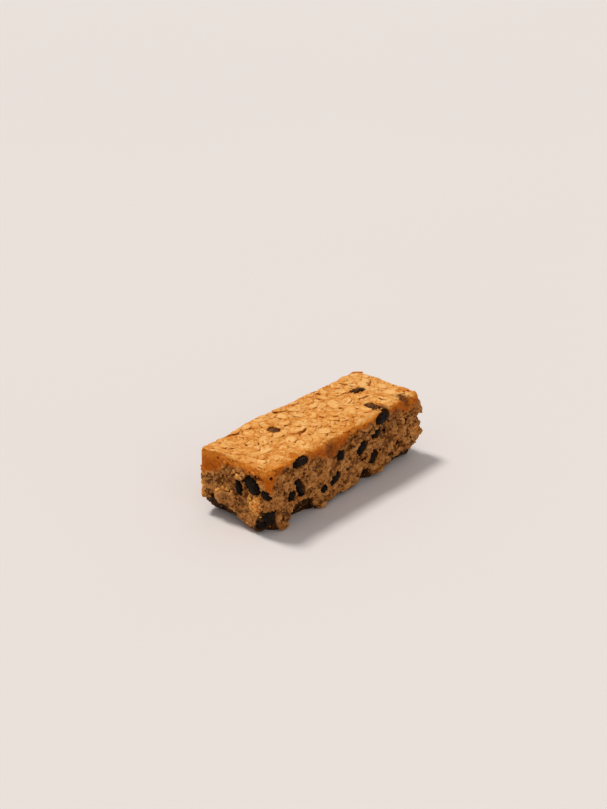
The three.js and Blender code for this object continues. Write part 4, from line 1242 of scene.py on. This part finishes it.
# -------------------------------------------------------------------- raisins
def round_cube(n):
    """A ball of even triangles: unit points and faces."""
    t = np.tan(np.linspace(-1, 1, n + 1) * math.pi / 4)
    u, v = (a.ravel() for a in np.meshgrid(t, t, indexing="ij"))
    k = np.arange(n * (n + 1)).reshape(n, n + 1)[:, :-1].ravel()
    quads = np.stack([k, k + n + 1, k + n + 2, k + 1], -1)
    sides, faces = [], []
    for axis in range(3):
        for sign in (1, -1):
            p = np.empty((len(u), 3))
            p[:, axis], p[:, (axis + 1) % 3], p[:, (axis + 2) % 3] = sign, u, v * sign
            faces.append(quads + len(u) * len(sides))
            sides.append(p / np.linalg.norm(p, axis=1, keepdims=True))
    p = np.concatenate(sides)
    _, first, same = np.unique(np.round(p, 5) + 0.0, axis=0, return_index=True, return_inverse=True)
    f = same.ravel()[np.concatenate(faces)]
    return p[first], np.concatenate([f[:, [0, 1, 2]], f[:, [0, 2, 3]]])


UNIT = round_cube(16)
for i, (name, (at, r, turn, coat)) in enumerate(RAISINS.items()):
    p, f = UNIT
    pick = np.random.default_rng(700 + i)
    facing = pick.normal(size=(13, 3))
    facing /= np.linalg.norm(facing, axis=1, keepdims=True)
    cut = pick.uniform(0.80, 1.10, 13)
    # a blunt egg cut by a few soft planes, then folded
    whole_egg = (np.abs(p) ** BLUNT).sum(1) ** (1 / BLUNT)
    angular = ((np.clip(p @ facing.T, 0, 1) / cut) ** 11).sum(1) + (whole_egg / 1.03) ** 11
    radius = angular ** (-1 / 11)
    q = p * 6.0 + np.array([3.0 * i - 40, 2.0 * (i % 5), 10 + i % 7])
    warp = 1.6 * np.stack([point_noise(q, 4.0, 60 + k) for k in range(3)], -1)
    n1 = point_noise(q + warp, 2.4, 70)
    n2 = point_noise(q + warp * 1.3, 1.15, 71)
    ridge1 = np.clip(1 - np.abs(n1) * 2.8, 0, 1)
    ridge2 = np.clip(1 - np.abs(n2) * 2.6, 0, 1)
    radius = radius * (1.03 - 0.17 * ridge1**1.3 - 0.07 * ridge2**1.5)
    v = p * radius[:, None] * np.array(r) @ euler(turn).T + np.array(at)
    fold = np.clip(1 - ridge1 * 0.8 - ridge2 * 0.4, 0, 1)
    up = smooth(*((-0.1, 0.5) if at[2] > 30 else (0.5, 0.9)), (p / np.array(r) * float(np.mean(r)) @ euler(turn).T)[:, 2])
    o = make_mesh(name + "_skin", v, f, None, {"fold": fold, "coat": coat * up})
    o.data.materials.append(RAISIN)
    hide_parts(name)
    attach(o, "root")


# ------------------------------------------------------- floor, light, camera
def plain(name, col, rough):
    n = Nodes(name)
    return n.surface(n.ramp(n.noise(3.0, 2, 0.5), [(0.3, col), (0.7, tuple(c * 1.012 for c in col))]), rough)


me = bpy.data.meshes.new("floor")
s = 6.0
me.from_pydata([(-s, -s, 0), (s, -s, 0), (s, s, 0), (-s, s, 0)], [], [(0, 1, 2, 3)])
floor = bpy.data.objects.new("floor", me)
bpy.context.scene.collection.objects.link(floor)
me.materials.append(plain("pale_floor", (0.78, 0.73, 0.705), 0.9))

world = bpy.data.worlds.new("studio")
bpy.context.scene.world = world
world.use_nodes = True
bg = world.node_tree.nodes["Background"]
bg.inputs[0].default_value = (1.0, 0.975, 0.96, 1)
bg.inputs[1].default_value = 0.40

RIGHT = np.array([0.65021927, -0.75974661, 0.0])
AWAY = np.array([0.75974661, 0.65021927, 0.0])


def sun(name, side, back, high, strength, angle, color):
    light = bpy.data.lights.new(name, "SUN")
    light.energy = strength
    light.angle = angle
    light.color = color
    o = bpy.data.objects.new(name, light)
    v = RIGHT * side + AWAY * back + np.array([0, 0, high])
    o.rotation_euler = Vector(v).to_track_quat("Z", "Y").to_euler()
    o.location = Vector(v) * 1.0
    bpy.context.scene.collection.objects.link(o)
    return o


sun("key", -0.504, 0.365, 1.25, 2.05, 0.24, (1.0, 0.975, 0.94))
sun("fill", 0.5, -1.0, 0.9, 0.30, 0.9, (1.0, 0.98, 0.97))

cam_data = bpy.data.cameras.new("camera")
cam_data.lens = 85.0
cam_data.sensor_width = 36.0
cam_data.clip_start = 0.01
cam_data.clip_end = 50.0
cam = bpy.data.objects.new("camera", cam_data)
bpy.context.scene.collection.objects.link(cam)
fw = Vector((0.68429772, 0.58564732, -0.43445812))
up = Vector((0.33007808, 0.28249304, 0.90069204))
rt = Vector((0.65021927, -0.75974661, 0.0))
cam.matrix_world = Matrix(((rt.x, up.x, -fw.x, -0.57238986), (rt.y, up.y, -fw.y, -0.48390112), (rt.z, up.z, -fw.z, 0.39939669), (0, 0, 0, 1)))
bpy.context.scene.camera = cam
bpy.context.scene.view_settings.view_transform = "Standard"
bpy.context.scene.view_settings.look = "None"
bpy.context.scene.view_settings.exposure = 0.0

counts = {o.name: sum(len(p.vertices) - 2 for p in o.data.polygons) for o in (near_top, far_top, near_low, far_low, flakes_top, flakes_side, grains, glint_beads)}
print("triangles", counts, "seconds", round(time.time() - START, 1), "all", sum(counts.values()) + len(RAISINS) * len(UNIT[1]))


def flat(b):
    return [[float(c) for c in corner] for corner in b]
